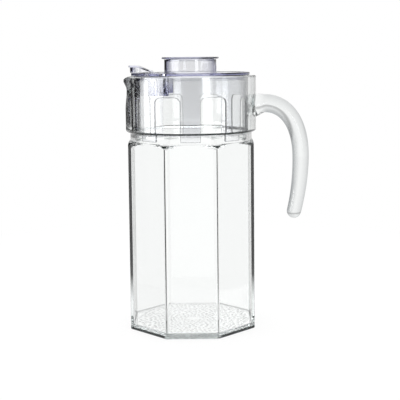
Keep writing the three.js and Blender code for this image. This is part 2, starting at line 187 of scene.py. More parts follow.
def close_up(mesh: bpy.types.Mesh) -> None:
    """Welds a mesh's doubled points and turns its faces outwards.

    Args:
        mesh: The mesh.
    """
    with editing(mesh) as work:
        bmesh.ops.remove_doubles(work, verts=work.verts, dist=WELD)
        bmesh.ops.dissolve_degenerate(work, edges=work.edges, dist=WELD / 10)
        if work.calc_volume(signed=True) < 0:
            bmesh.ops.reverse_faces(work, faces=work.faces)


def stand(name: str, data: bpy.types.ID) -> Piece:
    """Puts a new object into the scene.

    Args:
        name: The object's name.
        data: Its mesh, curve, camera or light.

    Returns:
        The object, at the origin.
    """
    piece = bpy.data.objects.new(name, data)
    bpy.context.scene.collection.objects.link(piece)
    return piece


def new_object(name: str, vertices: Iterable, faces: Iterable = ()) -> Piece:
    """Makes a mesh object whose faces point outwards.

    Args:
        name: The object's name.
        vertices: Points in millimetres.
        faces: Corner numbers of each face.

    Returns:
        The object.
    """
    points = np.asarray(list(vertices), float) * MM
    mesh = bpy.data.meshes.new(name)
    mesh.from_pydata(points.tolist(), [], [list(face) for face in faces])
    close_up(mesh)
    return stand(name, mesh)


def skin(name: str, rows: Sequence[np.ndarray], closed: bool = False) -> Piece:
    """Spans a skin over rings of points.

    Args:
        name: The object's name.
        rows: Rings of the same count of points, or one point where the skin meets its axis.
        closed: Whether the last ring joins the first.

    Returns:
        The object.
    """
    starts = np.cumsum([0] + [len(row) for row in rows])
    faces = []
    for low in range(len(rows) if closed else len(rows) - 1):
        high = (low + 1) % len(rows)
        for step in range(max(len(rows[low]), len(rows[high]))):
            places = ((low, step), (low, step + 1), (high, step + 1), (high, step))
            face = list(dict.fromkeys(starts[row] + at % len(rows[row]) for row, at in places))
            if len(face) > 2:
                faces.append(face)
    return new_object(name, np.concatenate(rows), faces)


def lathe(name: str, outline: Sequence[Point], steps: int) -> Piece:
    """Turns an outline about the upright axis.

    Args:
        name: The object's name.
        outline: Points as radius and height, from axis to axis or all round a ring's section.
        steps: How many steps the turn has.

    Returns:
        The object.
    """
    angles = full_turn(steps)
    rows = [ring_points(radius, angles if radius else np.zeros(1), z) for radius, z in outline]
    return skin(name, rows, closed=outline[0][0] > 0)


def extrude(name: str, outline: Sequence[Point], low: float, high: float, upright: bool = True) -> Piece:
    """Extrudes a flat outline.

    Args:
        name: The object's name.
        outline: Points as X and Y, or as X and Z where the extrusion runs across.
        low: Where the extrusion starts.
        high: Where it ends.
        upright: Whether it runs up Z or across Y.

    Returns:
        The object.
    """
    count = len(outline)
    vertices = [(a, b, end) if upright else (a, end, b) for end in (low, high) for a, b in outline]
    faces = [range(count)[::-1], range(count, 2 * count)]
    faces += [(k, (k + 1) % count, count + (k + 1) % count, count + k) for k in range(count)]
    return new_object(name, vertices, faces)


def settle(piece: Piece) -> None:
    """Turns a piece's modifiers into plain mesh and removes them.

    Args:
        piece: The mesh object.
    """
    bpy.context.view_layer.update()
    graph = bpy.context.evaluated_depsgraph_get()
    settled = bpy.data.meshes.new_from_object(piece.evaluated_get(graph))
    piece.modifiers.clear()
    old, piece.data = piece.data, settled
    bpy.data.meshes.remove(old)
    settled.name = piece.name


def vertex_values(piece: Piece, name: str) -> np.ndarray:
    """Reads a vector of each vertex.

    Args:
        piece: The mesh object.
        name: Which vector, a place or a normal.

    Returns:
        One row for each axis.
    """
    values = np.empty(3 * len(piece.data.vertices))
    piece.data.vertices.foreach_get(name, values)
    return values.reshape(-1, 3).T


def mark(piece: Piece, name: str, values: np.ndarray) -> None:
    """Notes a named value on each vertex for the materials to read."""
    piece.data.attributes.new(name, "FLOAT", "POINT").data.foreach_set("value", values)


def combine(piece: Piece, cut: Cut, *tools: Piece) -> None:
    """Joins, cuts or intersects a piece with others, which are used up.

    Args:
        piece: The solid that stays.
        cut: What is done to it.
        tools: The solids that it is done with.
    """
    for tool in tools:
        modifier = piece.modifiers.new(cut.value, "BOOLEAN")
        modifier.operation = cut.value
        modifier.solver = "MANIFOLD"
        modifier.object = tool
    settle(piece)
    for tool in tools:
        bpy.data.meshes.remove(tool.data)


def soften(piece: Piece, width: float, degrees: float = 40) -> Piece:
    """Rounds a piece's sharp edges.

    Args:
        piece: The solid.
        width: How wide the rounding is.
        degrees: Edges that turn by more than this are rounded.

    Returns:
        The piece.
    """
    modifier = piece.modifiers.new("soften", "BEVEL")
    modifier.width = width * MM
    modifier.segments = 2
    modifier.limit_method = "ANGLE"
    modifier.angle_limit = math.radians(degrees)
    settle(piece)
    return piece


# Node trees


class NodeBuilder:
    """Adds nodes to a tree and wires them."""

    def __init__(self, tree: bpy.types.NodeTree) -> None:
        """Keeps the tree that is built."""
        self.tree = tree

    def join(self, value: object, place: Socket) -> None:
        """Gives an input a value.

        Args:
            value: The value, or the socket that gives it.
            place: The input.
        """
        if isinstance(value, Socket):
            self.tree.links.new(value, place)
        else:
            place.default_value = value

    def feed(self, node: bpy.types.Node, **inputs: object) -> None:
        """Gives a node's inputs their values, by the input's name with _ for a space."""
        for name, value in inputs.items():
            self.join(value, node.inputs[name.replace("_", " ")])

    def add(self, kind: str, settings: dict | None = None, **inputs: object) -> bpy.types.NodeOutputs:
        """Adds a node.

        Args:
            kind: The node's type.
            settings: Properties of the node.
            inputs: Values, or sockets that give them, by the input's name with _ for a space.

        Returns:
            What comes out of it.
        """
        node = self.tree.nodes.new(kind)
        for name, value in (settings or {}).items():
            setattr(node, name, value)
        self.feed(node, **inputs)
        return node.outputs

    def step(self, operation: str, *values: Socket | float) -> Socket:
        """Adds one step of arithmetic.

        Args:
            operation: What is done.
            values: Numbers, or sockets that give them.

        Returns:
            What comes out of it.
        """
        node = self.tree.nodes.new("ShaderNodeMath")
        node.operation = operation
        for place, value in zip(node.inputs, values):
            self.join(value, place)
        return node.outputs[0]

    def between(self, value: Socket, span: Point, levels: Point = (0, 1)) -> Socket:
        """Turns a span of values into a span of levels.

        Args:
            value: What the level follows.
            span: Where the level starts to change, and where it ends.
            levels: The level before the span, and after it.

        Returns:
            The level.
        """
        (low, high), (before, after) = span, levels
        ends = {"From_Min": low, "From_Max": high, "To_Min": before, "To_Max": after}
        return self.add("ShaderNodeMapRange", Value=value, **ends)[0]

    def mix(self, share: Socket, first: Socket | Colour, second: Colour) -> Socket:
        """Blends two colours.

        Args:
            share: How much there is of the second.
            first: A colour, or the socket that gives it.
            second: The other colour.

        Returns:
            The blend.
        """
        node = self.tree.nodes.new("ShaderNodeMix")
        node.data_type = "RGBA"
        factor, start, end = (node.inputs[place] for place in (0, 6, 7))
        self.join(share, factor)
        self.join((*first, 1) if isinstance(first, tuple) else first, start)
        self.join((*second, 1), end)
        return node.outputs[2]

    def group(self, tree: bpy.types.NodeTree, **inputs: float) -> bpy.types.NodeOutputs:
        """Adds a shared group with its inputs set."""
        return self.add("ShaderNodeGroup", {"node_tree": tree}, **inputs)


class ShaderGroup(NodeBuilder):
    """A shader node group whose inputs and outputs are numbers."""

    def __init__(self, name: str, inputs: Sequence[str], outputs: Sequence[str]) -> None:
        """Starts the group.

        Args:
            name: The group's name.
            inputs: What goes in.
            outputs: What comes out.
        """
        super().__init__(bpy.data.node_groups.new(name, "ShaderNodeTree"))
        for way, labels in (("INPUT", inputs), ("OUTPUT", outputs)):
            for label in labels:
                self.tree.interface.new_socket(label, in_out=way, socket_type="NodeSocketFloat")
        self.given = self.add("NodeGroupInput")

    def end(self, **values: Socket) -> bpy.types.NodeTree:
        """Ends the group in its outputs."""
        self.feed(self.tree.nodes.new("NodeGroupOutput"), **values)
        return self.tree


class GeometryTree(NodeBuilder):
    """A Geometry Nodes tree that is built, run once on a piece and turned into plain mesh."""

    def __init__(self, name: str) -> None:
        """Starts a tree with a geometry that comes in and one that goes out.

        Args:
            name: The tree's name.
        """
        super().__init__(bpy.data.node_groups.new(name, "GeometryNodeTree"))
        for way in ("INPUT", "OUTPUT"):
            self.tree.interface.new_socket("Geometry", in_out=way, socket_type="NodeSocketGeometry")
        self.values: dict[str, float] = {}
        self.entry = self.tree.nodes.new("NodeGroupInput")

    @property
    def geometry(self) -> Socket:
        """The geometry that comes in."""
        return self.entry.outputs["Geometry"]

    def size(self, name: str, value: float) -> Socket:
        """Adds a named input.

        Args:
            name: The input's name.
            value: What the modifier sets it to. A whole number makes a whole input.

        Returns:
            The socket to link from.
        """
        kind = "NodeSocketInt" if isinstance(value, int) else "NodeSocketFloat"
        socket = self.tree.interface.new_socket(name, in_out="INPUT", socket_type=kind)
        self.values[socket.identifier] = value
        return self.entry.outputs[name]

    def run(self, piece: Piece, result: Socket, material: Material) -> None:
        """Ends the tree in realized, dressed geometry and bakes it into the piece.

        Args:
            piece: The object that the tree works on, which becomes a plain mesh object.
            result: The geometry to keep.
            material: What the geometry is made of.
        """
        real = self.add("GeometryNodeRealizeInstances", Geometry=result)[0]
        dressed = self.add("GeometryNodeSetMaterial", Geometry=real, Material=material)[0]
        self.feed(self.tree.nodes.new("NodeGroupOutput"), Geometry=dressed)
        modifier = piece.modifiers.new(self.tree.name, "NODES")
        modifier.node_group = self.tree
        for identifier, value in self.values.items():
            modifier[identifier] = value
        settle(piece)


# Finishes


def moulding_waves() -> bpy.types.NodeTree:
    """Slow swells that the mould leaves in a clear wall.

    Returns:
        A group that puts out a height.
    """
    group = ShaderGroup("moulding_waves", ("Size", "Stretch"), ("Height",))
    axes = group.add("ShaderNodeSeparateXYZ", Vector=group.add("ShaderNodeTexCoord")["Object"])
    lift = group.step("MULTIPLY", axes["Z"], group.given["Stretch"])
    place = group.add("ShaderNodeCombineXYZ", X=axes["X"], Y=axes["Y"], Z=lift)[0]
    scale = group.step("DIVIDE", 1.0, group.given["Size"])
    noise = group.add("ShaderNodeTexNoise", Vector=place, Scale=scale, Detail=1.0, Roughness=0.35)
    return group.end(Height=noise["Fac"])


def handling_marks() -> bpy.types.NodeTree:
    """Faint haze and tint from handling and washing.

    Returns:
        A group that puts out a roughness and a mask.
    """
    group = ShaderGroup("handling_marks", ("Clean", "Hazy", "Size"), ("Roughness", "Mask"))
    place = group.add("ShaderNodeTexCoord")["Object"]
    scale = group.step("DIVIDE", 1.0, group.given["Size"])
    noise = group.add("ShaderNodeTexNoise", Vector=place, Scale=scale, Detail=4.0)["Fac"]
    eased = {"interpolation_type": "SMOOTHSTEP"}
    mask = group.add("ShaderNodeMapRange", eased, Value=noise, From_Min=0.5, From_Max=0.75)[0]
    ends = {"To_Min": group.given["Clean"], "To_Max": group.given["Hazy"]}
    return group.end(Roughness=group.add("ShaderNodeMapRange", Value=mask, **ends)[0], Mask=mask)


@dataclass
class SurfaceEffects:
    """Shader groups that all clear finishes share."""

    waves: bpy.types.NodeTree = field(default_factory=moulding_waves)
    handling: bpy.types.NodeTree = field(default_factory=handling_marks)


@dataclass(frozen=True)
class ClearFinish:
    """A clear, refracting finish with painted shade: it darkens on slanted walls and where the mesh is marked.
    """

    name: str
    ior: float
    tint: Colour
    worn_tint: Colour
    soft_shade_tint: Colour
    soft_shade_power: float
    line_shade_tint: Colour
    wall_shade_power: float
    inside_share: float
    body_colour: Colour
    density: float
    wave_size: float
    wave_stretch: float
    wave_depth: float
    clean: float
    hazy: float
    mark_size: float

    def material(self, effects: SurfaceEffects) -> Material:
        """Builds the material.

        Args:
            effects: The groups that clear finishes share.

        Returns:
            The material.
        """
        material = bpy.data.materials.new(self.name)
        material.use_nodes = True
        tree, nodes = NodeBuilder(material.node_tree), material.node_tree.nodes
        marks = tree.group(effects.handling, Clean=self.clean, Hazy=self.hazy, Size=self.mark_size)
        waves = tree.group(effects.waves, Size=self.wave_size, Stretch=self.wave_stretch)
        # Painted shade: slanted upright walls darken by how squarely they face the eye
        slant = tree.add("ShaderNodeLayerWeight")["Facing"]
        surface = tree.add("ShaderNodeNewGeometry")
        lean = tree.add("ShaderNodeSeparateXYZ", Vector=surface["Normal"])["Z"]
        # Marks of painted soft shade and of painted shade lines
        depth = tree.add("ShaderNodeAttribute", {"attribute_name": SOFT_SHADE_MARK})["Fac"]
        line_shade = tree.add("ShaderNodeAttribute", {"attribute_name": LINE_SHADE_MARK})["Fac"]
        upright = tree.step("SUBTRACT", 1.0, tree.step("MULTIPLY", lean, lean))
        wall = tree.step("MULTIPLY", tree.step("POWER", slant, self.wall_shade_power), upright)
        seen = tree.between(surface["Backfacing"], (0, 1), (1, self.inside_share))
        edge = tree.step("MAXIMUM", wall, tree.step("MULTIPLY", line_shade, seen))
        soft_shade_share = tree.step("MULTIPLY", tree.step("POWER", slant, self.soft_shade_power), depth)
        colour = tree.mix(marks["Mask"], self.tint, self.worn_tint)
        # Painted shade mixed into the colour: towards the soft shade tint, then towards the line shade tint
        colour = tree.mix(edge, tree.mix(soft_shade_share, colour, self.soft_shade_tint), self.line_shade_tint)
        bump = tree.add("ShaderNodeBump", Strength=1.0, Distance=self.wave_depth, Height=waves["Height"])
        absorb = tree.add("ShaderNodeVolumeAbsorption", Color=(*self.body_colour, 1), Density=self.density)
        shader = nodes["Principled BSDF"]
        tree.feed(shader, Metallic=0.0, Transmission_Weight=1.0, IOR=self.ior)
        tree.feed(shader, Base_Color=colour, Roughness=marks["Roughness"], Normal=bump["Normal"])
        tree.feed(nodes["Material Output"], Volume=absorb[0])
        return material


# The glass's soft shade and line shade tints are painted shade: near-black, a little green
GLASS = ClearFinish(
    name="pressed_glass",
    ior=1.5,
    tint=(0.995, 1.0, 0.997),
    worn_tint=(0.985, 0.992, 0.988),
    soft_shade_tint=(0.02, 0.04, 0.055),
    soft_shade_power=0.5,
    line_shade_tint=(0.0005, 0.001, 0.001),
    wall_shade_power=2.5,
    inside_share=0.35,
    body_colour=(0.6, 0.82, 0.8),
    density=2.5,
    wave_size=0.035,
    wave_stretch=0.35,
    wave_depth=0.00012,
    clean=0.0,
    hazy=0.012,
    mark_size=0.03,
)
# The plastic's soft shade and line shade tints are painted shade: navy
PLASTIC = ClearFinish(
    name="clear_plastic",
    ior=1.49,
    tint=(0.935, 0.938, 0.945),
    worn_tint=(0.92, 0.923, 0.93),
    soft_shade_tint=(0.04, 0.05, 0.22),
    soft_shade_power=1.0,
    line_shade_tint=(0.01, 0.015, 0.2),
    wall_shade_power=1.6,
    inside_share=1.0,
    body_colour=(0.3, 0.33, 0.85),
    density=10.0,
    wave_size=0.03,
    wave_stretch=0.6,
    wave_depth=0.00006,
    clean=0.005,
    hazy=0.03,
    mark_size=0.02,
)
# The guard's thinner, paler plastic, whose painted shade lines are near-black and keep closer to the grazing
# edges
THIN_PLASTIC = replace(
    PLASTIC,
    name="thin_plastic",
    tint=(0.97, 0.972, 0.975),
    worn_tint=(0.955, 0.957, 0.962),
    line_shade_tint=(0.01, 0.012, 0.02),
    wall_shade_power=3.5,
    density=15.0,
)


@dataclass
class Workshop:
    """The materials, and how a finished piece is dressed and set on its body."""

    glass: Material
    plastic: Material
    thin_plastic: Material
    sharp_angle: float = 35

    def finish(self, piece: Piece, body: Body, material: Material, nodes: Sequence[str]) -> None:
        """Dresses a piece and puts it in the frame.

        Args:
            piece: The finished mesh.
            body: What it rides on.
            material: What it is made of.
            nodes: The solids that it stands for.
        """
        mesh = piece.data
        mesh.materials.clear()
        mesh.materials.append(material)
        mesh.polygons.foreach_set("material_index", np.zeros(len(mesh.polygons), np.int32))
        mesh.polygons.foreach_set("use_smooth", np.ones(len(mesh.polygons), bool))
        mesh.set_sharp_from_angle(angle=math.radians(self.sharp_angle))
        piece.modifiers.new("even", "WEIGHTED_NORMAL").keep_sharp = True
        settle(piece)
        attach(piece, body.value)
        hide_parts(*nodes)
        piece.data.calc_loop_triangles()
        LOG.info("%s: %d triangles, rides on %s", piece.name, len(piece.data.loop_triangles), body.value)


# Glass


@dataclass(frozen=True)
class Row:
    """One ring of the vessel: the distance of its flats, its round radius and its height."""

    flat: float
    radius: float
    z: float
    inside: bool = False


@dataclass
class GlassJug:
    """The pressed-glass vessel with its fused handle."""

    across_flats: float = 106
    foot_flare: float = 0.6
    edge_radius: float = 1.4
    edge_band: float = 3
    inner_edge_radius: float = 2.4
    body_wall: float = 4
    floor_thickness: float = 4.5
    foot_fillet: float = 1.2
    floor_fillet: float = 0.8
    base_rings: Sequence[float] = (0, 10, 20, 30, 38, 44, 48)
    floor_rings: Sequence[float] = (0, 12, 24, 34)
    wall_rings: Sequence[float] = range(10, 101, 15)
    shoulder_rings: Sequence[float] = (40, 20, 0)
    body_height: float = 158.5
    shoulder_height: float = 4
    neck_height: float = 7.5
    neck_radius: float = 52.3
    neck_wall: float = 3.1
    neck_lead: float = 2
    collar_height: float = 47.3
    collar_overhang: float = 3.7
    collar_round: float = 1.8
    rim_round: float = 1.3
    spout_overhang: float = 1.4
    spout_dip: float = 2.4
    spout_height: float = 12
    spout_half_angle: float = 24
    throat_depth: float = 1.5
    throat_height: float = 16
    channel_depth: float = 2.2
    channel_lip_depth: float = 6
    handle_root_drop: float = 26.7
    handle_crown: Point = (20, 8.4)
    handle_reach: float = 38.8
    handle_waist_drop: float = 71.3
    handle_crown_bend: float = 40
    handle_tail_bend: float = 19
    handle_tip_reach: float = 31.7
    handle_tip_drop: float = 124.3
    handle_tip_run: Point = (4.3, 16)
    handle_depths: Corner = (15.8, 14.2, 12.2)
    handle_width_share: float = 1.19
    handle_sides: int = 48
    tip_closing: float = 1e-5
    root_flare: float = 0.22
    root_flare_span: Point = (0.02, 0.1)
    stipple_ring: Point = (6, 46.5)
    stipple_pitch: float = 3.0
    stipple_radius: float = 1.2
    stipple_depth: float = 0.7
    stipple_density: float = 1.2e6
    stipple_seed: int = 5
    # Where the painted shade marks fall on the glass, and how dark they are
    handle_start: float = 1
    handle_shades: Point = (0.45, 1.0)
    handle_facing: Point = (-0.6, 0.9)
    spout_shade: float = 0.6
    flank_shade: float = 0.95
    sole_height: float = 3.0
    sole_fade: float = 0.3
    sole_sides: Point = (0.36, 0.42)
    edge_shade: float = 0.22
    edge_spread: Point = (0.4, 1)
    eyelid_rise: Point = (0.4, 0.9)
    eyelid_fade: float = 1.2
    eyelid_lean: Point = (0.02, 0.2)
    eyelid_spread: Point = (4, 10)
    collar_line_shade: float = 2.5
    collar_line: Point = (1.3, 1.8)
    stipple_shade: float = 2.5
    stipple_edge: float = 47.5
    touch: float = 0.02

    @property
    def neck_z(self) -> float:
        """Where the groove starts."""
        return self.body_height + self.shoulder_height

    @property
    def collar_z(self) -> float:
        """The collar's lower edge."""
        return self.neck_z + self.neck_height

    @property
    def rim_z(self) -> float:
        """The top of the glass."""
        return self.collar_z + self.collar_height

    @property
    def throat_z(self) -> float:
        """Where the spout's lip starts."""
        return self.rim_z - self.spout_height

    @property
    def bore(self) -> float:
        """The inside radius of neck and collar."""
        return self.neck_radius - self.neck_wall

    @property
    def collar_radius(self) -> float:
        """The outside radius of the collar."""
        return self.neck_radius + self.collar_overhang

    def angles(self) -> np.ndarray:
        """Angles round the axis, closer together at the upright edges.

        Returns:
            The angles, in radians.
        """
        half, near = FACE / 2, math.radians(self.edge_band)
        flat = np.linspace(near - half, half - near, 14, endpoint=False)
        edge = np.linspace(half - near, half + near, 16, endpoint=False)
        side = np.concatenate([flat, edge])
        return np.concatenate([side + k * FACE for k in range(SIDES)])

    @staticmethod
    def octagon(flat: float, rounding: float, angles: np.ndarray) -> np.ndarray:
        """The octagon seen from its centre.

        Args:
            flat: The distance of the flats.
            rounding: The radius of the corners.
            angles: Where to read it.

        Returns:
            The distance at each angle.
        """
        half = FACE / 2
        from_face = np.abs(angles - FACE * np.round(angles / FACE))
        flat_end = math.atan((flat - rounding) * math.tan(half) / flat)
        centre = (flat - rounding) / math.cos(half)
        from_corner = half - from_face
        across = centre * np.sin(from_corner)
        corner = centre * np.cos(from_corner) + np.sqrt(np.maximum(rounding**2 - across**2, 0))
        return np.where(from_face <= flat_end, flat / np.cos(from_face), corner)

    def flat_at(self, z: float) -> float:
        """How far the flats stand from the axis at a height."""
        return self.across_flats / 2 + self.foot_flare * (1 - min(z, self.body_height) / self.body_height)

    def spout_bell(self, angles: np.ndarray) -> np.ndarray:
        """How far the spout is drawn out at each angle, as a share."""
        turned = np.abs(math.pi - np.mod(angles, 2 * math.pi))
        return np.cos(np.minimum(turned / math.radians(self.spout_half_angle), 1) * math.pi / 2) ** 2

    def spout_climb(self, z: np.ndarray | float) -> np.ndarray | float:
        """How much of the spout there is at a height, as a share."""
        return smooth(z, self.collar_z, self.collar_z + 4 * self.collar_round)

    def wall_rows(self, wall: float, heights: Iterable[float]) -> list[Row]:
        """Rings of the straight body at some heights, a wall's thickness inside its outer skin."""
        return [Row(self.flat_at(z) - wall, math.inf, z, wall > 0) for z in heights]

    def foot_rows(
        self, rings: Iterable[float], wall: float, z: float, fillet: float, steps: int
    ) -> list[Row]:
        """The rings of the base or the floor, with the fillet at its edge.

        Args:
            rings: Where the level part has rings.
            wall: How far inside the outer skin this one lies.
            z: The height of the level part.
            fillet: The fillet's radius.
            steps: How many rings the fillet has.

        Returns:
            The rings, from the middle out.
        """
        reach = self.flat_at(z) - wall
        line = [(flat, z) for flat in (*rings, reach - fillet)]
        line += quarter(line[-1], (reach, z + fillet), Turn.LEVEL, steps)
        return [Row(flat, math.inf, height, wall > 0) for flat, height in line]

    def shoulder(self, wall: float, neck: float, steps: int = 18) -> list[Row]:
        """The rounded-over top of the body.

        Args:
            wall: How far inside the outer skin this one lies.
            neck: The radius that it ends at.
            steps: How many rings it has.

        Returns:
            Its rings, from the top of the straight body.
        """
        drop = wall * math.tan(FACE / 2)
        widest = (self.across_flats / 2 - wall) / math.cos(FACE / 2)
        start = self.body_height - drop
        rows = self.wall_rows(wall, [start - below for below in self.shoulder_rings])
        for radius, z in quarter((widest, start), (neck, self.neck_z - drop), Turn.UPRIGHT, steps):
            rows.append(Row(self.flat_at(z) - wall, radius, z, wall > 0))
        return rows

    def outside(self) -> list[Row]:
        """The rings of the outer skin, from the middle of the base to the rim.

        Returns:
            The rings.
        """
        rows = self.foot_rows(self.base_rings, 0, 0, self.foot_fillet, steps=8)
        rows += self.wall_rows(0, (self.sole_height - self.sole_fade, self.sole_height, *self.wall_rings))
        rows += self.shoulder(0, self.neck_radius)
        cove = (self.neck_radius, self.collar_z - self.collar_round)
        lower = (self.collar_radius - self.collar_round, self.collar_z)
        low, high = self.collar_z + self.collar_round, self.rim_z - self.rim_round
        lip = (self.collar_radius - self.rim_round, self.rim_z)
        turned = [(self.neck_radius, (self.neck_z + cove[1]) / 2), cove]
        turned += quarter(cove, (self.neck_radius + self.collar_round, self.collar_z), Turn.UPRIGHT, steps=6)
        turned.append(lower)
        turned += quarter(lower, (self.collar_radius, low), Turn.LEVEL, steps=6)
        turned += [(self.collar_radius, float(z)) for z in np.linspace(low, high, 37)[1:]]
        turned += quarter(turned[-1], lip, Turn.UPRIGHT, steps=8)
        return rows + [Row(math.inf, radius, z) for radius, z in turned]

    def within(self) -> list[Row]:
        """The rings of the inner skin, from the middle of the floor to the rim.

        Returns:
            The rings.
        """
        wall, lip = self.body_wall, self.rim_round / 2
        rows = self.foot_rows(self.floor_rings, wall, self.floor_thickness, self.floor_fillet, steps=10)
        rows += self.wall_rows(wall, self.wall_rings[1:]) + self.shoulder(wall, self.bore)
        heights = np.linspace(self.neck_z + self.neck_lead, self.rim_z - lip, 45)
        turned = [(self.bore, float(z)) for z in heights]
        turned += quarter(turned[-1], (self.bore + lip, self.rim_z), Turn.UPRIGHT, steps=6)
        return rows + [Row(math.inf, radius, z, True) for radius, z in turned]

    def ring(self, row: Row, angles: np.ndarray) -> np.ndarray:
        """One ring of points with the spout and its channel drawn into it.

        Args:
            row: The ring's sizes.
            angles: Where its points stand.

        Returns:
            The points, or one point on the axis.
        """
        if row.flat == 0:
            return ring_points(0, np.zeros(1), row.z)
        reach = np.full(len(angles), row.radius)
        if row.flat < math.inf:
            rounding = min(self.inner_edge_radius if row.inside else self.edge_radius, row.flat / 2)
            reach = np.minimum(self.octagon(row.flat, rounding, angles), row.radius)
        lip = smooth(row.z, self.throat_z, self.rim_z - self.rim_round)
        throat = smooth(row.z, self.throat_z - self.throat_height, self.throat_z) * (1 - lip)
        channel = self.channel_depth * self.spout_climb(row.z)
        channel += (self.channel_lip_depth - self.channel_depth) * lip
        drawn = channel if row.inside else self.spout_overhang * lip - self.throat_depth * throat
        bell = self.spout_bell(angles)
        return ring_points(reach + bell * drawn, angles, row.z - self.spout_dip * bell * lip)

    def vessel(self) -> Piece:
        """Skins the vessel from the middle of the base, over the rim, to the middle of the floor."""
        rows, angles = self.outside() + self.within()[::-1], self.angles()
        return skin("jug_glass", [self.ring(row, angles) for row in rows])

    def handle_line(self, steps: int = 90) -> tuple[np.ndarray, np.ndarray]:
        """The handle's centre line.

        Args:
            steps: How many points it has before the domed tip.

        Returns:
            The points, and the depth of the section at each.
        """
        start = np.array([self.collar_radius, self.rim_z])
        root = start - (self.collar_overhang, self.handle_root_drop)
        waist = start + (self.handle_reach, -self.handle_waist_drop)
        tip = start + (self.handle_tip_reach, -self.handle_tip_drop)
        upper = (root, root + self.handle_crown, waist + (0, self.handle_crown_bend), waist)
        lower = (waist, waist - (0, self.handle_tail_bend), tip + self.handle_tip_run, tip)
        share = np.linspace(0, 1, 400)[:, None]
        weights = ((1 - share) ** 3, 3 * share * (1 - share) ** 2, 3 * share**2 * (1 - share), share**3)
        first, second = (sum(w * p for w, p in zip(weights, pulls)) for pulls in (upper, lower))
        line = np.concatenate([first, second[1:]])
        length = np.concatenate([[0], np.cumsum(np.linalg.norm(np.diff(line, axis=0), axis=1))])
        waist_at = length[len(first) - 1] / length[-1]
        root_depth, waist_depth, tip_depth = self.handle_depths
        dome = 1 - tip_depth / 2 / length[-1]
        into = np.sin(np.linspace(0, math.pi / 2, 13)[1:])
        along = np.concatenate([np.linspace(0, dome, steps), dome + (1 - dome) * into])
        upper_depth = root_depth + (waist_depth - root_depth) * smooth(along, 0, waist_at)
        lower_depth = waist_depth + (tip_depth - waist_depth) * (along - waist_at) / (1 - waist_at)
        depth = np.where(along < waist_at, upper_depth, lower_depth)
        depth *= 1 + self.root_flare * (1 - smooth(along, *self.root_flare_span))
        closing = np.clip((along - dome) / (1 - dome), 0, 1)
        depth *= np.sqrt(np.maximum(1 - closing**2, self.tip_closing))
        places = np.stack([np.interp(along * length[-1], length, line[:, k]) for k in (0, 1)], 1)
        heading = (places[1] - places[0]) / np.linalg.norm(places[1] - places[0])
        sunk = places[0] - heading * self.collar_overhang * 2
        return np.concatenate([[sunk], places]), np.concatenate([depth[:1], depth])

    def handle(self, material: Material) -> Piece:
        """Sweeps the handle along its line with Geometry Nodes.

        Args:
            material: The glass.

        Returns:
            The handle, not yet joined to the collar.
        """
        places, depth = self.handle_line()
        curve = bpy.data.curves.new("handle_line", "CURVE")
        curve.dimensions = "3D"
        spline = curve.splines.new("POLY")
        spline.points.add(len(places) - 1)
        for point, (x, z), thick in zip(spline.points, places, depth):
            point.co = (x * MM, 0, z * MM, 1)
            point.radius = thick
        tree = GeometryTree("swept_handle")
        unit = tree.size("Depth unit", MM)
        wide = tree.step("MULTIPLY", tree.size("Width share", self.handle_width_share), unit)
        sides = tree.size("Sides", self.handle_sides)
        circle = tree.add("GeometryNodeCurvePrimitiveCircle", Resolution=sides, Radius=0.5)[0]
        oval = tree.add("ShaderNodeCombineXYZ", X=wide, Y=unit, Z=1.0)[0]
        profile = tree.add("GeometryNodeTransform", Geometry=circle, Scale=oval)[0]
        line = tree.add("GeometryNodeObjectInfo", Object=stand("handle_line", curve))["Geometry"]
        thick = tree.add("GeometryNodeInputRadius")[0]
        sweep = {"Curve": line, "Profile_Curve": profile, "Scale": thick, "Fill_Caps": True}
        swept = tree.add("GeometryNodeCurveToMesh", **sweep)
        holder = new_object("handle_glass", [(0, 0, 0)])
        tree.run(holder, swept[0], material)
        bpy.data.curves.remove(curve)
        close_up(holder.data)
        return holder

    def stipple(self, material: Material) -> Piece:
        """Scatters shallow dimples under the base with Geometry Nodes.

        Args:
            material: The glass.

        Returns:
            The lenses to take out of the base.
        """
        ring = skin("stipple", [ring_points(radius, full_turn(steps=64), 0) for radius in self.stipple_ring])
        tree = GeometryTree("stippled_base")
        pitch = tree.size("Pitch", self.stipple_pitch * MM)
        radius = tree.size("Radius", self.stipple_radius * MM)
        depth = tree.size("Depth", self.stipple_depth * MM)
        seed = tree.size("Seed", self.stipple_seed)
        spread = {"Distance_Min": pitch, "Density_Max": self.stipple_density, "Seed": seed}
        apart = {"distribute_method": "POISSON"}
        points = tree.add("GeometryNodeDistributePointsOnFaces", apart, Mesh=tree.geometry, **spread)[0]
        lens = tree.add("GeometryNodeMeshUVSphere", Segments=8, Rings=4, Radius=1.0)[0]
        shape = tree.add("ShaderNodeCombineXYZ", X=radius, Y=radius, Z=depth)[0]
        flat = tree.add("GeometryNodeTransform", Geometry=lens, Scale=shape)[0]
        tree.run(ring, tree.add("GeometryNodeInstanceOnPoints", Points=points, Instance=flat)[0], material)
        return ring

    def mark_painted_shade(self, glass: Piece) -> None:
        """Paints shade into marks on the mesh: soft shade on the handle, the spout and the foot, and shade
        lines on edges, the spout's flanks and the stipple's dimples.

        Args:
            glass: The finished glass.
        """
        x, y, z = vertex_values(glass, "co") / MM
        across, along, up = vertex_values(glass, "normal")
        radius, angle = np.hypot(x, y), np.arctan2(y, x)
        bar = smooth(x - self.collar_radius, self.handle_start, self.handle_crown[0] / 2)
        outside = (x * across + y * along > 0) & (bar == 0)
        bell = self.spout_bell(angle) * self.spout_climb(z)
        beside = np.degrees(np.abs(np.mod(angle, FACE) - FACE / 2))

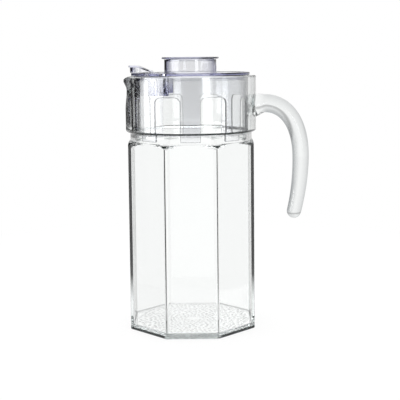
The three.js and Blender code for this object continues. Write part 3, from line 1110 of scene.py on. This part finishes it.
        # Painted soft shade: the handle darker towards its inner bend, the spout, and the foot on all sides
        # but the front and the back
        out, rise = x - self.bore, z - self.rim_z + self.handle_waist_drop
        facing_in = -(across * out + up * rise) / np.maximum(np.hypot(out, rise), 1)
        least, most = self.handle_shades
        handle = bar * (least + (most - least) * smooth(facing_in, *self.handle_facing))
        sides = smooth(np.abs(x) / np.maximum(radius, 1), *self.sole_sides)
        sides *= radius > self.across_flats / 2 - self.foot_fillet
        foot = sides * (1 - smooth(z, self.foot_fillet / 2, self.foot_fillet))
        mark(glass, SOFT_SHADE_MARK, np.maximum(handle, np.maximum(self.spout_shade * bell, foot) * outside))

        # Painted shade lines: the sole, the upright edges, the shoulder's corners, the collar's lower edge,
        # the spout's flanks, and darker stipple dimples
        sole = sides * (1 - smooth(z, self.sole_height - self.sole_fade, self.sole_height))
        upright = self.edge_shade * (1 - smooth(beside, *self.edge_spread)) * (z < self.body_height)
        eyelid = smooth(up, *self.eyelid_lean) * (1 - smooth(beside, *self.eyelid_spread))
        eyelid *= smooth(z - self.body_height, *self.eyelid_rise)
        eyelid *= 1 - smooth(z - self.neck_z, -self.eyelid_fade, 0)
        lower = self.collar_line_shade * (1 - smooth(z - self.collar_z, *self.collar_line))
        lower *= z > self.collar_z - self.touch
        lower *= radius > self.neck_radius + self.collar_round - self.touch
        flank = self.flank_shade * 4 * bell * (1 - bell) * ~outside
        line_shade = np.maximum(np.maximum.reduce([sole, upright, eyelid, lower]) * outside, flank)
        dimple = (z > self.touch) & (z < 2 * self.stipple_depth) & (radius < self.stipple_edge)
        mark(glass, LINE_SHADE_MARK, np.where(dimple, self.stipple_shade * z / self.stipple_depth, line_shade))

    def build(self, shop: Workshop) -> None:
        """Makes the glass as one piece and sets it on its body.

        Args:
            shop: The materials.
        """
        glass, handle = self.vessel(), self.handle(shop.glass)
        sunk = (self.bore + self.collar_radius) / 2
        middle = [(0, self.collar_z), (sunk, self.collar_z), (sunk, self.rim_z), (0, self.rim_z)]
        combine(handle, Cut.REMOVE, lathe("middle", middle, steps=96))
        combine(glass, Cut.JOIN, handle)
        combine(glass, Cut.REMOVE, self.stipple(shop.glass))
        self.mark_painted_shade(glass)
        shop.finish(glass, Body.JUG, shop.glass, ("jug_body", "handle"))


# Lid


@dataclass
class Lid:
    """The clear lid: its plate with knob tube, spigot, fingers and ears, its cap, guard and flap."""

    jug: GlassJug
    seat_gap: float = 0.3
    lid_seat: float = 1.5
    thickness: float = 2
    bead: float = 0.35
    knob_radius: float = 22.2
    knob_wall: float = 1.6
    knob_height: float = 11.4
    knob_fillet: float = 1.2
    cap_overhang: float = 2.2
    cap_thickness: float = 1.6
    plug_height: float = 2
    plug_wall: float = 1.4
    plug_clearance: float = 0.3
    guard_clearance: float = 0.6
    guard_wall: float = 1.7
    guard_band_height: float = 17.2
    guard_leg_height: float = 36.4
    leg_corner: float = 0.8
    leg_round: float = 0.6
    window_count: int = 8
    window_width: float = 21.5
    window_round: float = 5.5
    window_columns: int = 18
    spigot_wall: float = 1.5
    spigot_height: float = 4
    spigot_clearance: float = 0.4
    finger_height: float = 15.8
    finger_width: float = 7.4
    finger_wall: float = 2.8
    finger_angles: Point = (50, 63)
    flap_wall: float = 1.5
    flap_rise: float = 6.6
    flap_lip_length: float = 6.7
    flap_slope_length: float = 13.2
    flap_overhang: float = 1.8
    flap_round: float = 0.25
    lip_overhang: float = 1.1
    flap_width: float = 27
    tail_width: float = 15
    tail_drop: float = 0.6
    tail_overlap: float = 0.5
    hinge_setback: float = 3.1
    hinge_drop: float = 2.2
    hinge_radius: float = 1.6
    barrel_inset: float = 0.02
    stud_radius: float = 0.9
    stud_length: float = 2.4
    stud_clearance: float = 0.3
    ear_wall: float = 3
    ear_length: float = 9
    ear_height: float = 2.8
    ear_clearance: float = 0.4
    pour_margin: float = 1
    pour_corner: float = 2
    edge_round: float = 0.35
    spare: float = 1
    steps: int = 192
    # How dark the painted shade lines on the plate, the guard and the flap are, and where they fall
    rim_shade: float = 0.6
    rim_lean: Point = (0.1, 0.4)
    level_lean: Point = (0.9, 1)
    finger_shade: float = 0.7
    finger_lean: Point = (0.4, 0.7)
    leg_shade: float = 0.95
    leg_lean: Point = (0.6, 0.9)
    hem_share: float = 0.12
    roof_shade: float = 0.9
    roof_lean: Point = (0.3, 0.6)

    @property
    def radius(self) -> float:
        """The plate's radius."""
        return self.jug.bore + self.lid_seat

    @property
    def under(self) -> float:
        """The plate's underside."""
        return self.jug.rim_z + self.seat_gap

    @property
    def top(self) -> float:
        """The plate's top."""
        return self.under + self.thickness

    @property
    def knob_top(self) -> float:
        """The top of the knob's tube."""
        return self.top + self.knob_height

    @property
    def cap_radius(self) -> float:
        """The radius of the knob's cap."""
        return self.knob_radius + self.cap_overhang

    @property
    def guard_radius(self) -> float:
        """The guard's outside radius, past the bore and the body's flats."""
        return min(self.jug.bore, self.jug.across_flats / 2 - self.jug.body_wall) - self.guard_clearance

    @property
    def spigot_radius(self) -> float:
        """The outside radius of the spigot that the guard sits on."""
        return self.guard_radius - self.guard_wall - self.spigot_clearance

    @property
    def hinge(self) -> Point:
        """Where the flap's axis lies, as X and Z."""
        return -self.cap_radius - self.hinge_setback, self.top - self.hinge_drop

    @property
    def ear_inner(self) -> float:
        """How far the ears stand from the middle plane."""
        return self.tail_width / 2 + self.ear_clearance

    @property
    def lip_radius(self) -> float:
        """How far the flap's lip reaches."""
        return self.radius + self.flap_overhang

    @property
    def flap_foot(self) -> float:
        """The lower edge of the flap's walls."""
        return self.top + self.bead + self.seat_gap

    @property
    def flap_span(self) -> Point:
        """Where the flap's slope starts and ends, along X."""
        knee = self.flap_lip_length - self.lip_radius
        return knee, knee + self.flap_slope_length

    def hinge_bar(self, radius: float, length: float, steps: int = 24) -> Piece:
        """A round bar on the hinge axis.

        Args:
            radius: Its radius.
            length: Its length.
            steps: How many sides it has.

        Returns:
            The bar.
        """
        x, z = self.hinge
        outline = [(x + radius * math.cos(a), z + radius * math.sin(a)) for a in full_turn(steps)]
        return extrude("bar", outline, -length / 2, length / 2, upright=False)

    def turning(self) -> Piece:
        """The plate with the knob's tube and the spigot, as one turned moulding.

        Returns:
            The plate.
        """
        inner = self.knob_radius - self.knob_wall
        foot = self.under - self.spigot_height
        spigot = self.spigot_radius
        small, edge = self.edge_round, self.thickness / 3
        outline = rounded([
            (inner, self.under, small),
            (spigot - self.spigot_wall, self.under, small),
            (spigot - self.spigot_wall, foot, small),
            (spigot, foot, small),
            (spigot, self.under, small),
            (self.radius, self.under, edge),
            (self.radius, self.top + self.bead, edge),
            (self.radius - 2 * edge, self.top + self.bead, small),
            (self.radius - 3 * edge, self.top, small),
            (self.knob_radius, self.top, self.knob_fillet),
            (self.knob_radius, self.knob_top, small),
            (inner, self.knob_top, small),
        ])
        return lathe("lid_plate", outline, self.steps)

    def fingers(self) -> list[Piece]:
        """The spring fingers on both sides of the spout.

        Returns:
            The fingers.
        """
        foot, high = self.under - self.finger_height, self.under + self.thickness / 2
        reach, half = self.spigot_radius, self.finger_width / 2
        spread = math.asin(half / reach)
        outline = [(reach * math.cos(a), reach * math.sin(a)) for a in np.linspace(-spread, spread, 7)]
        outline += [(reach - self.finger_wall, half), (reach - self.finger_wall, -half)]
        made = []
        for angle in self.finger_angles:
            for side in (-1, 1):
                finger = soften(extrude("finger", outline, foot, high), self.edge_round, degrees=50)
                finger.data.transform(Matrix.Rotation(math.pi + side * math.radians(angle), 4, "Z"))
                made.append(finger)
        return made

    def ears(self) -> list[Piece]:
        """The two ears under the plate that hold the flap's studs.

        Returns:
            The ears.
        """
        back, front = self.hinge[0] - self.ear_length / 2, self.hinge[0] + self.ear_length / 2
        low, high = self.under - self.ear_height, self.under + self.thickness / 2
        made = []
        for side in (-1, 1):
            near, far = side * self.ear_inner, side * (self.ear_inner + self.ear_wall)
            outline = [(back, near), (front, near), (front, far), (back, far)]
            made.append(soften(extrude("ear", outline, low, high), self.edge_round))
        return made

    def pour_window(self) -> Piece:
        """The opening in the plate that the flap closes.

        Returns:
            The block to take out of the plate.
        """
        outer = self.spigot_wall + self.pour_margin - self.spigot_radius
        inner = self.hinge[0] + self.hinge_radius + self.ear_clearance
        half, corner = self.ear_inner, self.pour_corner
        corners = [(inner, -half, 0), (inner, half, 0), (outer, half, corner), (outer, -half, corner)]
        return extrude("window", rounded(corners), self.under - self.thickness, self.top + self.thickness)

    def mark_cover(self, plate: Piece) -> None:
        """Paints navy shade lines into marks on the plate: on its rounded rim, and where its fingers end or
        turn sideways.

        Args:
            plate: The plate with all that is moulded on it.
        """
        x, y, z = vertex_values(plate, "co") / MM
        across, along, up = vertex_values(plate, "normal")
        reach, lean = np.hypot(x, y), np.abs(up)
        rim = smooth(lean, *self.rim_lean) * (1 - smooth(lean, *self.level_lean))
        rim *= self.rim_shade * (reach > self.radius - self.thickness / 2)
        tip = self.under - self.finger_height
        ends = 1 - smooth(z, tip, tip + self.finger_height / 3)
        sides = smooth(np.abs(x * along - y * across) / reach, *self.finger_lean)
        sides *= z < self.under - self.spigot_height
        mark(plate, LINE_SHADE_MARK, np.maximum(rim, self.finger_shade * np.maximum(ends, sides)))

    def cover(self, shop: Workshop) -> None:
        """Makes the plate with all that is moulded on it.

        Args:
            shop: The materials.
        """
        plate = self.turning()
        combine(plate, Cut.JOIN, *self.fingers(), *self.ears())
        width = 2 * (self.ear_inner + self.ear_wall + self.stud_clearance)
        sockets = self.hinge_bar(self.stud_radius + self.stud_clearance, width)
        combine(plate, Cut.REMOVE, self.pour_window(), sockets)
        self.mark_cover(plate)
        shop.finish(plate, Body.LID, shop.plastic, ("lid_cover",))

    def cap(self, shop: Workshop) -> None:
        """Makes the knob's cap.

        Args:
            shop: The materials.
        """
        under = self.knob_top + self.seat_gap
        plug = self.knob_radius - self.knob_wall - self.plug_clearance
        foot, high = under - self.plug_height, under + self.cap_thickness
        small, edge = self.edge_round, self.cap_thickness / 2
        outline = rounded([
            (0, under, 0),
            (plug - self.plug_wall, under, small),
            (plug - self.plug_wall, foot, small),
            (plug, foot, small),
            (plug, under, small),
            (self.cap_radius, under, edge),
            (self.cap_radius, high, edge),
            (0, high, 0),
        ])
        shop.finish(lathe("knob_disc", outline, self.steps), Body.LID, shop.plastic, ("knob_cap",))

    def guard_panel(self) -> Piece:
        """One bay of the guard: a window between two half legs, bent to the guard's radius.

        Returns:
            The bay, open where the next one joins it.
        """
        half, window = math.pi * self.guard_radius / self.window_count, self.window_width / 2
        top = self.jug.rim_z
        arch_top = top - self.guard_band_height
        foot = arch_top - self.guard_leg_height
        right = [
            (window, arch_top, self.window_round),
            (window, foot, self.leg_corner),
            (half, foot, 0),
            (half, top, 0),
        ]
        left = [(-x, z, rounding) for x, z, rounding in right[::-1]]
        panel = extrude("guard_skirt", rounded(left + right, steps=8), 0, self.guard_wall, upright=False)

        def at_seam(corners: Iterable[bmesh.types.BMVert]) -> bool:
            """Whether all corners lie where the next bay joins."""
            return all(abs(abs(corner.co.x) - half * MM) < WELD for corner in corners)

        with editing(panel.data) as work:
            level = [e for e in work.edges if abs(e.verts[0].co.y - e.verts[1].co.y) < WELD]
            rims = [e for e in level if not at_seam(e.verts)]
            bmesh.ops.bevel(
                work, geom=rims, offset=self.leg_round * MM, segments=2, profile=0.5, affect="EDGES"
            )
            for x in np.linspace(-half, half, self.window_columns + 1)[1:-1]:
                geom = work.verts[:] + work.edges[:] + work.faces[:]
                place, way = (x * MM, 0, 0), (1, 0, 0)
                bmesh.ops.bisect_plane(work, geom=geom, plane_co=place, plane_no=way, dist=WELD / 10)
            ends = [f for f in work.faces if at_seam(f.verts)]
            bmesh.ops.delete(work, geom=ends, context="FACES_ONLY")
            for vert in work.verts:
                angle = vert.co.x / (self.guard_radius * MM)
                reach = self.guard_radius * MM - vert.co.y
                vert.co = Vector((reach * math.cos(angle), reach * math.sin(angle), vert.co.z))
        return panel

    def guard(self, shop: Workshop) -> None:
        """Repeats the bay round the axis with Geometry Nodes.

        Args:
            shop: The materials.
        """
        panel = self.guard_panel()
        tree = GeometryTree("guard_bays")
        count = tree.size("Bays", self.window_count)
        offset = tree.size("First bay", math.pi / self.window_count)
        line = tree.add("GeometryNodeMeshLine", Count=count, Offset=(0, 0, 0))[0]
        pitch = tree.step("DIVIDE", 2 * math.pi, count)
        angle = tree.step("MULTIPLY_ADD", tree.add("GeometryNodeInputIndex")[0], pitch, offset)
        spin = tree.add("ShaderNodeCombineXYZ", Z=angle)[0]
        bays = tree.add("GeometryNodeInstanceOnPoints", Points=line, Instance=tree.geometry, Rotation=spin)[0]
        real = tree.add("GeometryNodeRealizeInstances", Geometry=bays)[0]
        joined = tree.add("GeometryNodeMergeByDistance", Geometry=real, Distance=20 * WELD)[0]
        tree.run(panel, joined, shop.thin_plastic)
        with editing(panel.data) as work:
            bmesh.ops.recalc_face_normals(work, faces=work.faces)
        # Painted shade lines on the legs' sides and the arches' edges, and faintly on the top rim
        x, y, z = vertex_values(panel, "co") / MM
        across, along, _ = vertex_values(panel, "normal")
        outward = np.abs(x * across + y * along) / np.hypot(x, y)
        hung = np.where(z < self.jug.rim_z - self.leg_round, 1, self.hem_share)
        mark(panel, LINE_SHADE_MARK, self.leg_shade * hung * (1 - smooth(outward, *self.leg_lean)))
        shop.finish(panel, Body.LID, shop.thin_plastic, ("ice_guard",))

    def flap_plan(self, radius: float, inset: float, low: float) -> Piece:
        """The flap's outline seen from above, as a tall block.

        Args:
            radius: How far its front reaches.
            inset: How far inside the flap's edge its sides lie.
            low: Where the block starts.

        Returns:
            The block.
        """
        half, tail = self.flap_width / 2 - inset, self.tail_width / 2 - inset
        knee, end = self.flap_span
        spread = math.asin(half / radius)
        flare = max(knee, -radius * math.cos(spread))
        share = np.linspace(0, 1, 9)
        widths = tail + (half - tail) * smooth(share, 0, 1)
        side = [(end + (flare - end) * float(s), float(w)) for s, w in zip(share, widths)]
        arc = np.linspace(math.pi - spread, math.pi + spread, 17)[1:-1]
        front = [(radius * math.cos(a), radius * math.sin(a)) for a in arc]
        outline = side + front + [(x, -y) for x, y in side[::-1]]
        return extrude("plan", outline, low, self.top + 2 * self.flap_rise)

    def flap_top(self) -> list[Point]:
        """The flap's upper line, from the lip to the end of its slope.

        Returns:
            The line, as X and Z.
        """
        knee, end = self.flap_span
        high, low = self.top + self.flap_rise, self.flap_foot + self.flap_wall
        share = np.linspace(0, 1, 13)
        fall = (share + smooth(share, 0, 1)) / 2
        slope = zip(knee + (end - knee) * share, high + (low - high) * fall)
        return [(-self.lip_radius - self.spare, high)] + [(float(x), float(z)) for x, z in slope]

    def flap_block(self, name: str, line: Sequence[Point], drop: float, foot: float) -> Piece:
        """A block under the flap's upper line, wider than the flap.

        Args:
            name: The block's name.
            line: The upper line.
            drop: How far below the line the block lies.
            foot: Its lower end.

        Returns:
            The block.
        """
        half = self.flap_width / 2 + self.spare
        outline = [(x, z - drop) for x, z in line] + [(line[-1][0], foot), (line[0][0], foot)]
        return extrude(name, outline, -half, half, upright=False)

    def flap(self, shop: Workshop) -> None:
        """Makes the pour flap: a bent sheet with side and front walls and a hinge barrel.

        Args:
            shop: The materials.
        """
        wall, foot, under, upper = self.flap_wall, self.flap_foot, self.under, self.flap_top()
        front, lip_under = self.lip_radius - self.lip_overhang, self.top + self.flap_rise - self.flap_wall
        hood = self.flap_block("pour_lip", upper, 0, foot)
        combine(hood, Cut.SHARE, self.flap_plan(self.lip_radius, 0, under))
        room = self.flap_block("room", upper, wall, under)
        combine(room, Cut.SHARE, self.flap_plan(front - wall, wall, under - self.spare))
        far = 2 * self.lip_radius
        section = [(front, under), (far, under), (far, lip_under), (front, lip_under)]
        combine(hood, Cut.REMOVE, room, lathe("front", section, self.steps))
        (x, z), end = self.hinge, upper[-1][0]
        line = [
            (end - self.tail_overlap, foot + wall),
            ((end + x) / 2, self.top - self.tail_drop),
            (x, z + wall / 2),
        ]
        outline = line + [(a, b - wall) for a, b in line[::-1]]
        tail = extrude("tail", outline, -self.tail_width / 2, self.tail_width / 2, upright=False)
        barrel = self.hinge_bar(self.hinge_radius, self.tail_width - self.barrel_inset)
        studs = self.hinge_bar(self.stud_radius, self.tail_width + 2 * self.stud_length)
        combine(hood, Cut.JOIN, tail, barrel, studs)
        soften(hood, self.flap_round, degrees=45)
        # Painted navy shade on the level and sloping roof faces, on top and underneath
        level = np.abs(vertex_values(hood, "normal")[2])
        mark(hood, LINE_SHADE_MARK, self.roof_shade * smooth(level, *self.roof_lean))
        shop.finish(hood, Body.FLAP, shop.plastic, ("pour_flap",))

    def build(self, shop: Workshop) -> None:
        """Makes all of the lid.

        Args:
            shop: The materials.
        """
        for piece in (self.cover, self.cap, self.guard, self.flap):
            piece(shop)


# Studio


@dataclass(frozen=True)
class Lamp:
    """A soft lamp, in metres and watts. Shiny surfaces show it only where it is mirrored."""

    name: str
    place: Corner
    aim: Corner
    size: Point
    power: float
    mirrored: bool = True

    def hang(self) -> None:
        """Puts the lamp into the scene."""
        data = bpy.data.lights.new(self.name, "AREA")
        data.shape = "RECTANGLE"
        data.size, data.size_y = self.size
        data.energy = self.power
        lamp = stand(self.name, data)
        lamp.location = self.place
        lamp.rotation_euler = (Vector(self.aim) - Vector(self.place)).to_track_quat("-Z", "Y").to_euler()
        lamp.visible_glossy = self.mirrored


LAMPS = (
    Lamp("overhead", (0, 0.2, 1.6), (0, 0, 0.1), (1.4, 1.4), 14, mirrored=False),
    Lamp("left_box", (-0.767, -0.227, 0.225), (0, 0, 0.225), (0.63, 0.25), 1.7),
    Lamp("right_strip", (0.388, -0.7, 0.225), (0, 0, 0.225), (0.2, 0.25), 0.5),
)


@dataclass
class Studio:
    """The floor, the room and the camera, whose own sizes are millimetres. Other lengths here are metres."""

    camera_place: Corner = (7.2, -800.8, 232.1)
    camera_pitch: float = 8.71
    camera_roll: float = -0.56
    lens: float = 83.5
    sensor: float = 36
    floor_size: float = 60.0
    floor_drop: float = 0.0002
    floor_colour: Colour = (0.9, 0.9, 0.9)
    shadow_level: float = 0.9
    shadow_span: Point = (0.15, 0.5)
    mirror_level: float = 0.03
    mirror_reach: Point = (1.9, 2.3)
    near_reach: Point = (0.1, 0.2)
    mirrored_once: float = 1.5
    mirrored_often: float = 2.5
    lit_side: Point = (-0.3, -0.2)
    lit_front: float = 0.05
    lit_reach: Point = (12, 20)
    lit_height: Point = (-0.02, 0.01)
    haze_level: float = 0.6
    haze_spans: tuple[Point, Point] = ((0.02, 0.08), (0.14, 0.26))
    bounces: int = 32
    glossy_bounces: int = 16

    def camera(self) -> None:
        """Sets the camera where the jug is seen from slightly above its rim."""
        data = bpy.data.cameras.new("camera")
        data.lens = self.lens
        data.sensor_width = self.sensor
        data.sensor_fit = "HORIZONTAL"
        camera = stand("camera", data)
        camera.location = Vector(self.camera_place) * MM
        tilt = Matrix.Rotation(math.radians(90 - self.camera_pitch), 4, "X")
        roll = Matrix.Rotation(math.radians(self.camera_roll), 4, "Z")
        camera.rotation_euler = (tilt @ roll).to_euler()
        bpy.context.scene.camera = camera

    def lit(self, tree: NodeBuilder, place: Socket) -> Socket:
        """Finds the bright wall of the room.

        Args:
            tree: The nodes that it joins.
            place: Where the ray arrives, or which way it goes.

        Returns:
            A share: all of it behind the jug and to its right, and little of it in front.
        """
        aim = tree.add("ShaderNodeVectorMath", {"operation": "NORMALIZE"}, Vector=place)[0]
        axes = tree.add("ShaderNodeSeparateXYZ", Vector=aim)
        behind = tree.between(axes["Y"], (-1, 0), (self.lit_front, 1))
        return tree.step("MULTIPLY", tree.between(axes["X"], self.lit_side), behind)

    def level(self, tree: NodeBuilder, dark: Socket) -> Socket:
        """Finds how bright the room looks: white, but a ray that has been mirrored sees its dark end.

        Args:
            tree: The nodes that it joins.
            dark: How much of the dark end lies where the ray goes.

        Returns:
            The level.
        """
        mirrored = tree.step("MINIMUM", tree.add("ShaderNodeLightPath")["Glossy Depth"], 1.0)
        return tree.between(tree.step("MULTIPLY", mirrored, dark), (0, 1), (1, self.mirror_level))

    def floor_level(self, tree: NodeBuilder, place: Socket, away: Socket) -> Socket:
        """Finds how bright the floor looks through the glass.

        Far off, it is dark to mirrored rays, apart from what the bright wall lights for rays that are
        mirrored once. Rays that are mirrored more than twice see it dark from close by.

        Args:
            tree: The nodes that it joins.
            place: Where the ray arrives.
            away: How far that is from the jug.

        Returns:
            The level.
        """
        turns = tree.add("ShaderNodeLightPath")["Glossy Depth"]
        once = tree.step("LESS_THAN", turns, self.mirrored_once)
        often = tree.step("GREATER_THAN", turns, self.mirrored_often)
        near = tree.step("MULTIPLY", tree.between(away, self.near_reach), often)
        far = tree.step("MAXIMUM", tree.between(away, self.mirror_reach), near)
        reached = tree.step("MULTIPLY", tree.between(away, self.lit_reach, (1, 0)), once)
        lit = tree.step("MULTIPLY", self.lit(tree, place), reached)
        return self.level(tree, tree.step("MULTIPLY", far, tree.step("SUBTRACT", 1.0, lit)))

    def floor(self) -> None:
        """Lays the pale floor: white to the camera, with the object's soft shadow."""
        half = self.floor_size / 2 / MM
        corners = [(-half, -half, 0), (half, -half, 0), (half, half, 0), (-half, half, 0)]
        floor = new_object("floor", corners, [range(4)])
        floor.location.z = -self.floor_drop
        material = bpy.data.materials.new("pale_floor")
        material.use_nodes = True
        tree, nodes = NodeBuilder(material.node_tree), material.node_tree.nodes
        nodes.remove(nodes["Principled BSDF"])
        place = tree.add("ShaderNodeTexCoord")["Object"]
        away = tree.add("ShaderNodeVectorMath", {"operation": "LENGTH"}, Vector=place)["Value"]
        path = tree.add("ShaderNodeLightPath")
        shade = tree.between(away, self.shadow_span, (self.shadow_level, 1))
        seen = tree.step("MULTIPLY", path["Is Camera Ray"], shade)
        clear = tree.step("MAXIMUM", path["Is Transmission Ray"], path["Is Glossy Ray"])
        white = tree.add("ShaderNodeEmission")[0]
        room = tree.add("ShaderNodeEmission", Color=self.floor_level(tree, place, away))[0]
        shown = tree.add("ShaderNodeBsdfDiffuse", Color=(*self.floor_colour, 1))[0]
        for share, light in ((seen, white), (clear, room)):
            mix = nodes.new("ShaderNodeMixShader")
            for value, socket in zip((share, shown, light), mix.inputs):
                tree.join(value, socket)
            shown = mix.outputs[0]
        tree.feed(nodes["Material Output"], Surface=shown)
        floor.data.materials.append(material)

    def world(self) -> None:
        """Surrounds the jug with a bright room that has a dark end, a lit wall and some haze low down."""
        world = bpy.data.worlds.new("studio")
        bpy.context.scene.world = world
        world.use_nodes = True
        tree = NodeBuilder(world.node_tree)
        way = tree.add("ShaderNodeTexCoord")["Generated"]
        height = tree.add("ShaderNodeSeparateXYZ", Vector=way)["Z"]
        near, far = self.haze_spans
        below = tree.between(height, near, (1, self.haze_level))
        above = tree.between(height, far, (self.haze_level, 1))
        direct = tree.add("ShaderNodeLightPath")["Is Camera Ray"]
        haze = tree.step("MAXIMUM", tree.step("MAXIMUM", below, above), direct)
        lit = tree.step("MULTIPLY", self.lit(tree, way), tree.between(height, self.lit_height))
        level = self.level(tree, tree.step("SUBTRACT", 1.0, lit))
        tree.feed(world.node_tree.nodes["Background"], Color=tree.step("MULTIPLY", level, haze))

    def build(self) -> None:
        """Sets up all of the studio."""
        self.camera()
        self.floor()
        self.world()
        for lamp in LAMPS:
            lamp.hang()
        scene = bpy.context.scene
        scene.view_settings.view_transform = "Standard"
        scene.cycles.max_bounces = scene.cycles.transmission_bounces = self.bounces
        scene.cycles.glossy_bounces = self.glossy_bounces


def main() -> None:
    """Builds the jug and its studio."""
    logging.basicConfig(level=logging.INFO, format="%(name)s: %(message)s")
    effects = SurfaceEffects()
    shop = Workshop(*(finish.material(effects) for finish in (GLASS, PLASTIC, THIN_PLASTIC)))
    jug = GlassJug()
    jug.build(shop)
    Lid(jug).build(shop)
    Studio().build()


if __name__ == "__main__":
    main()
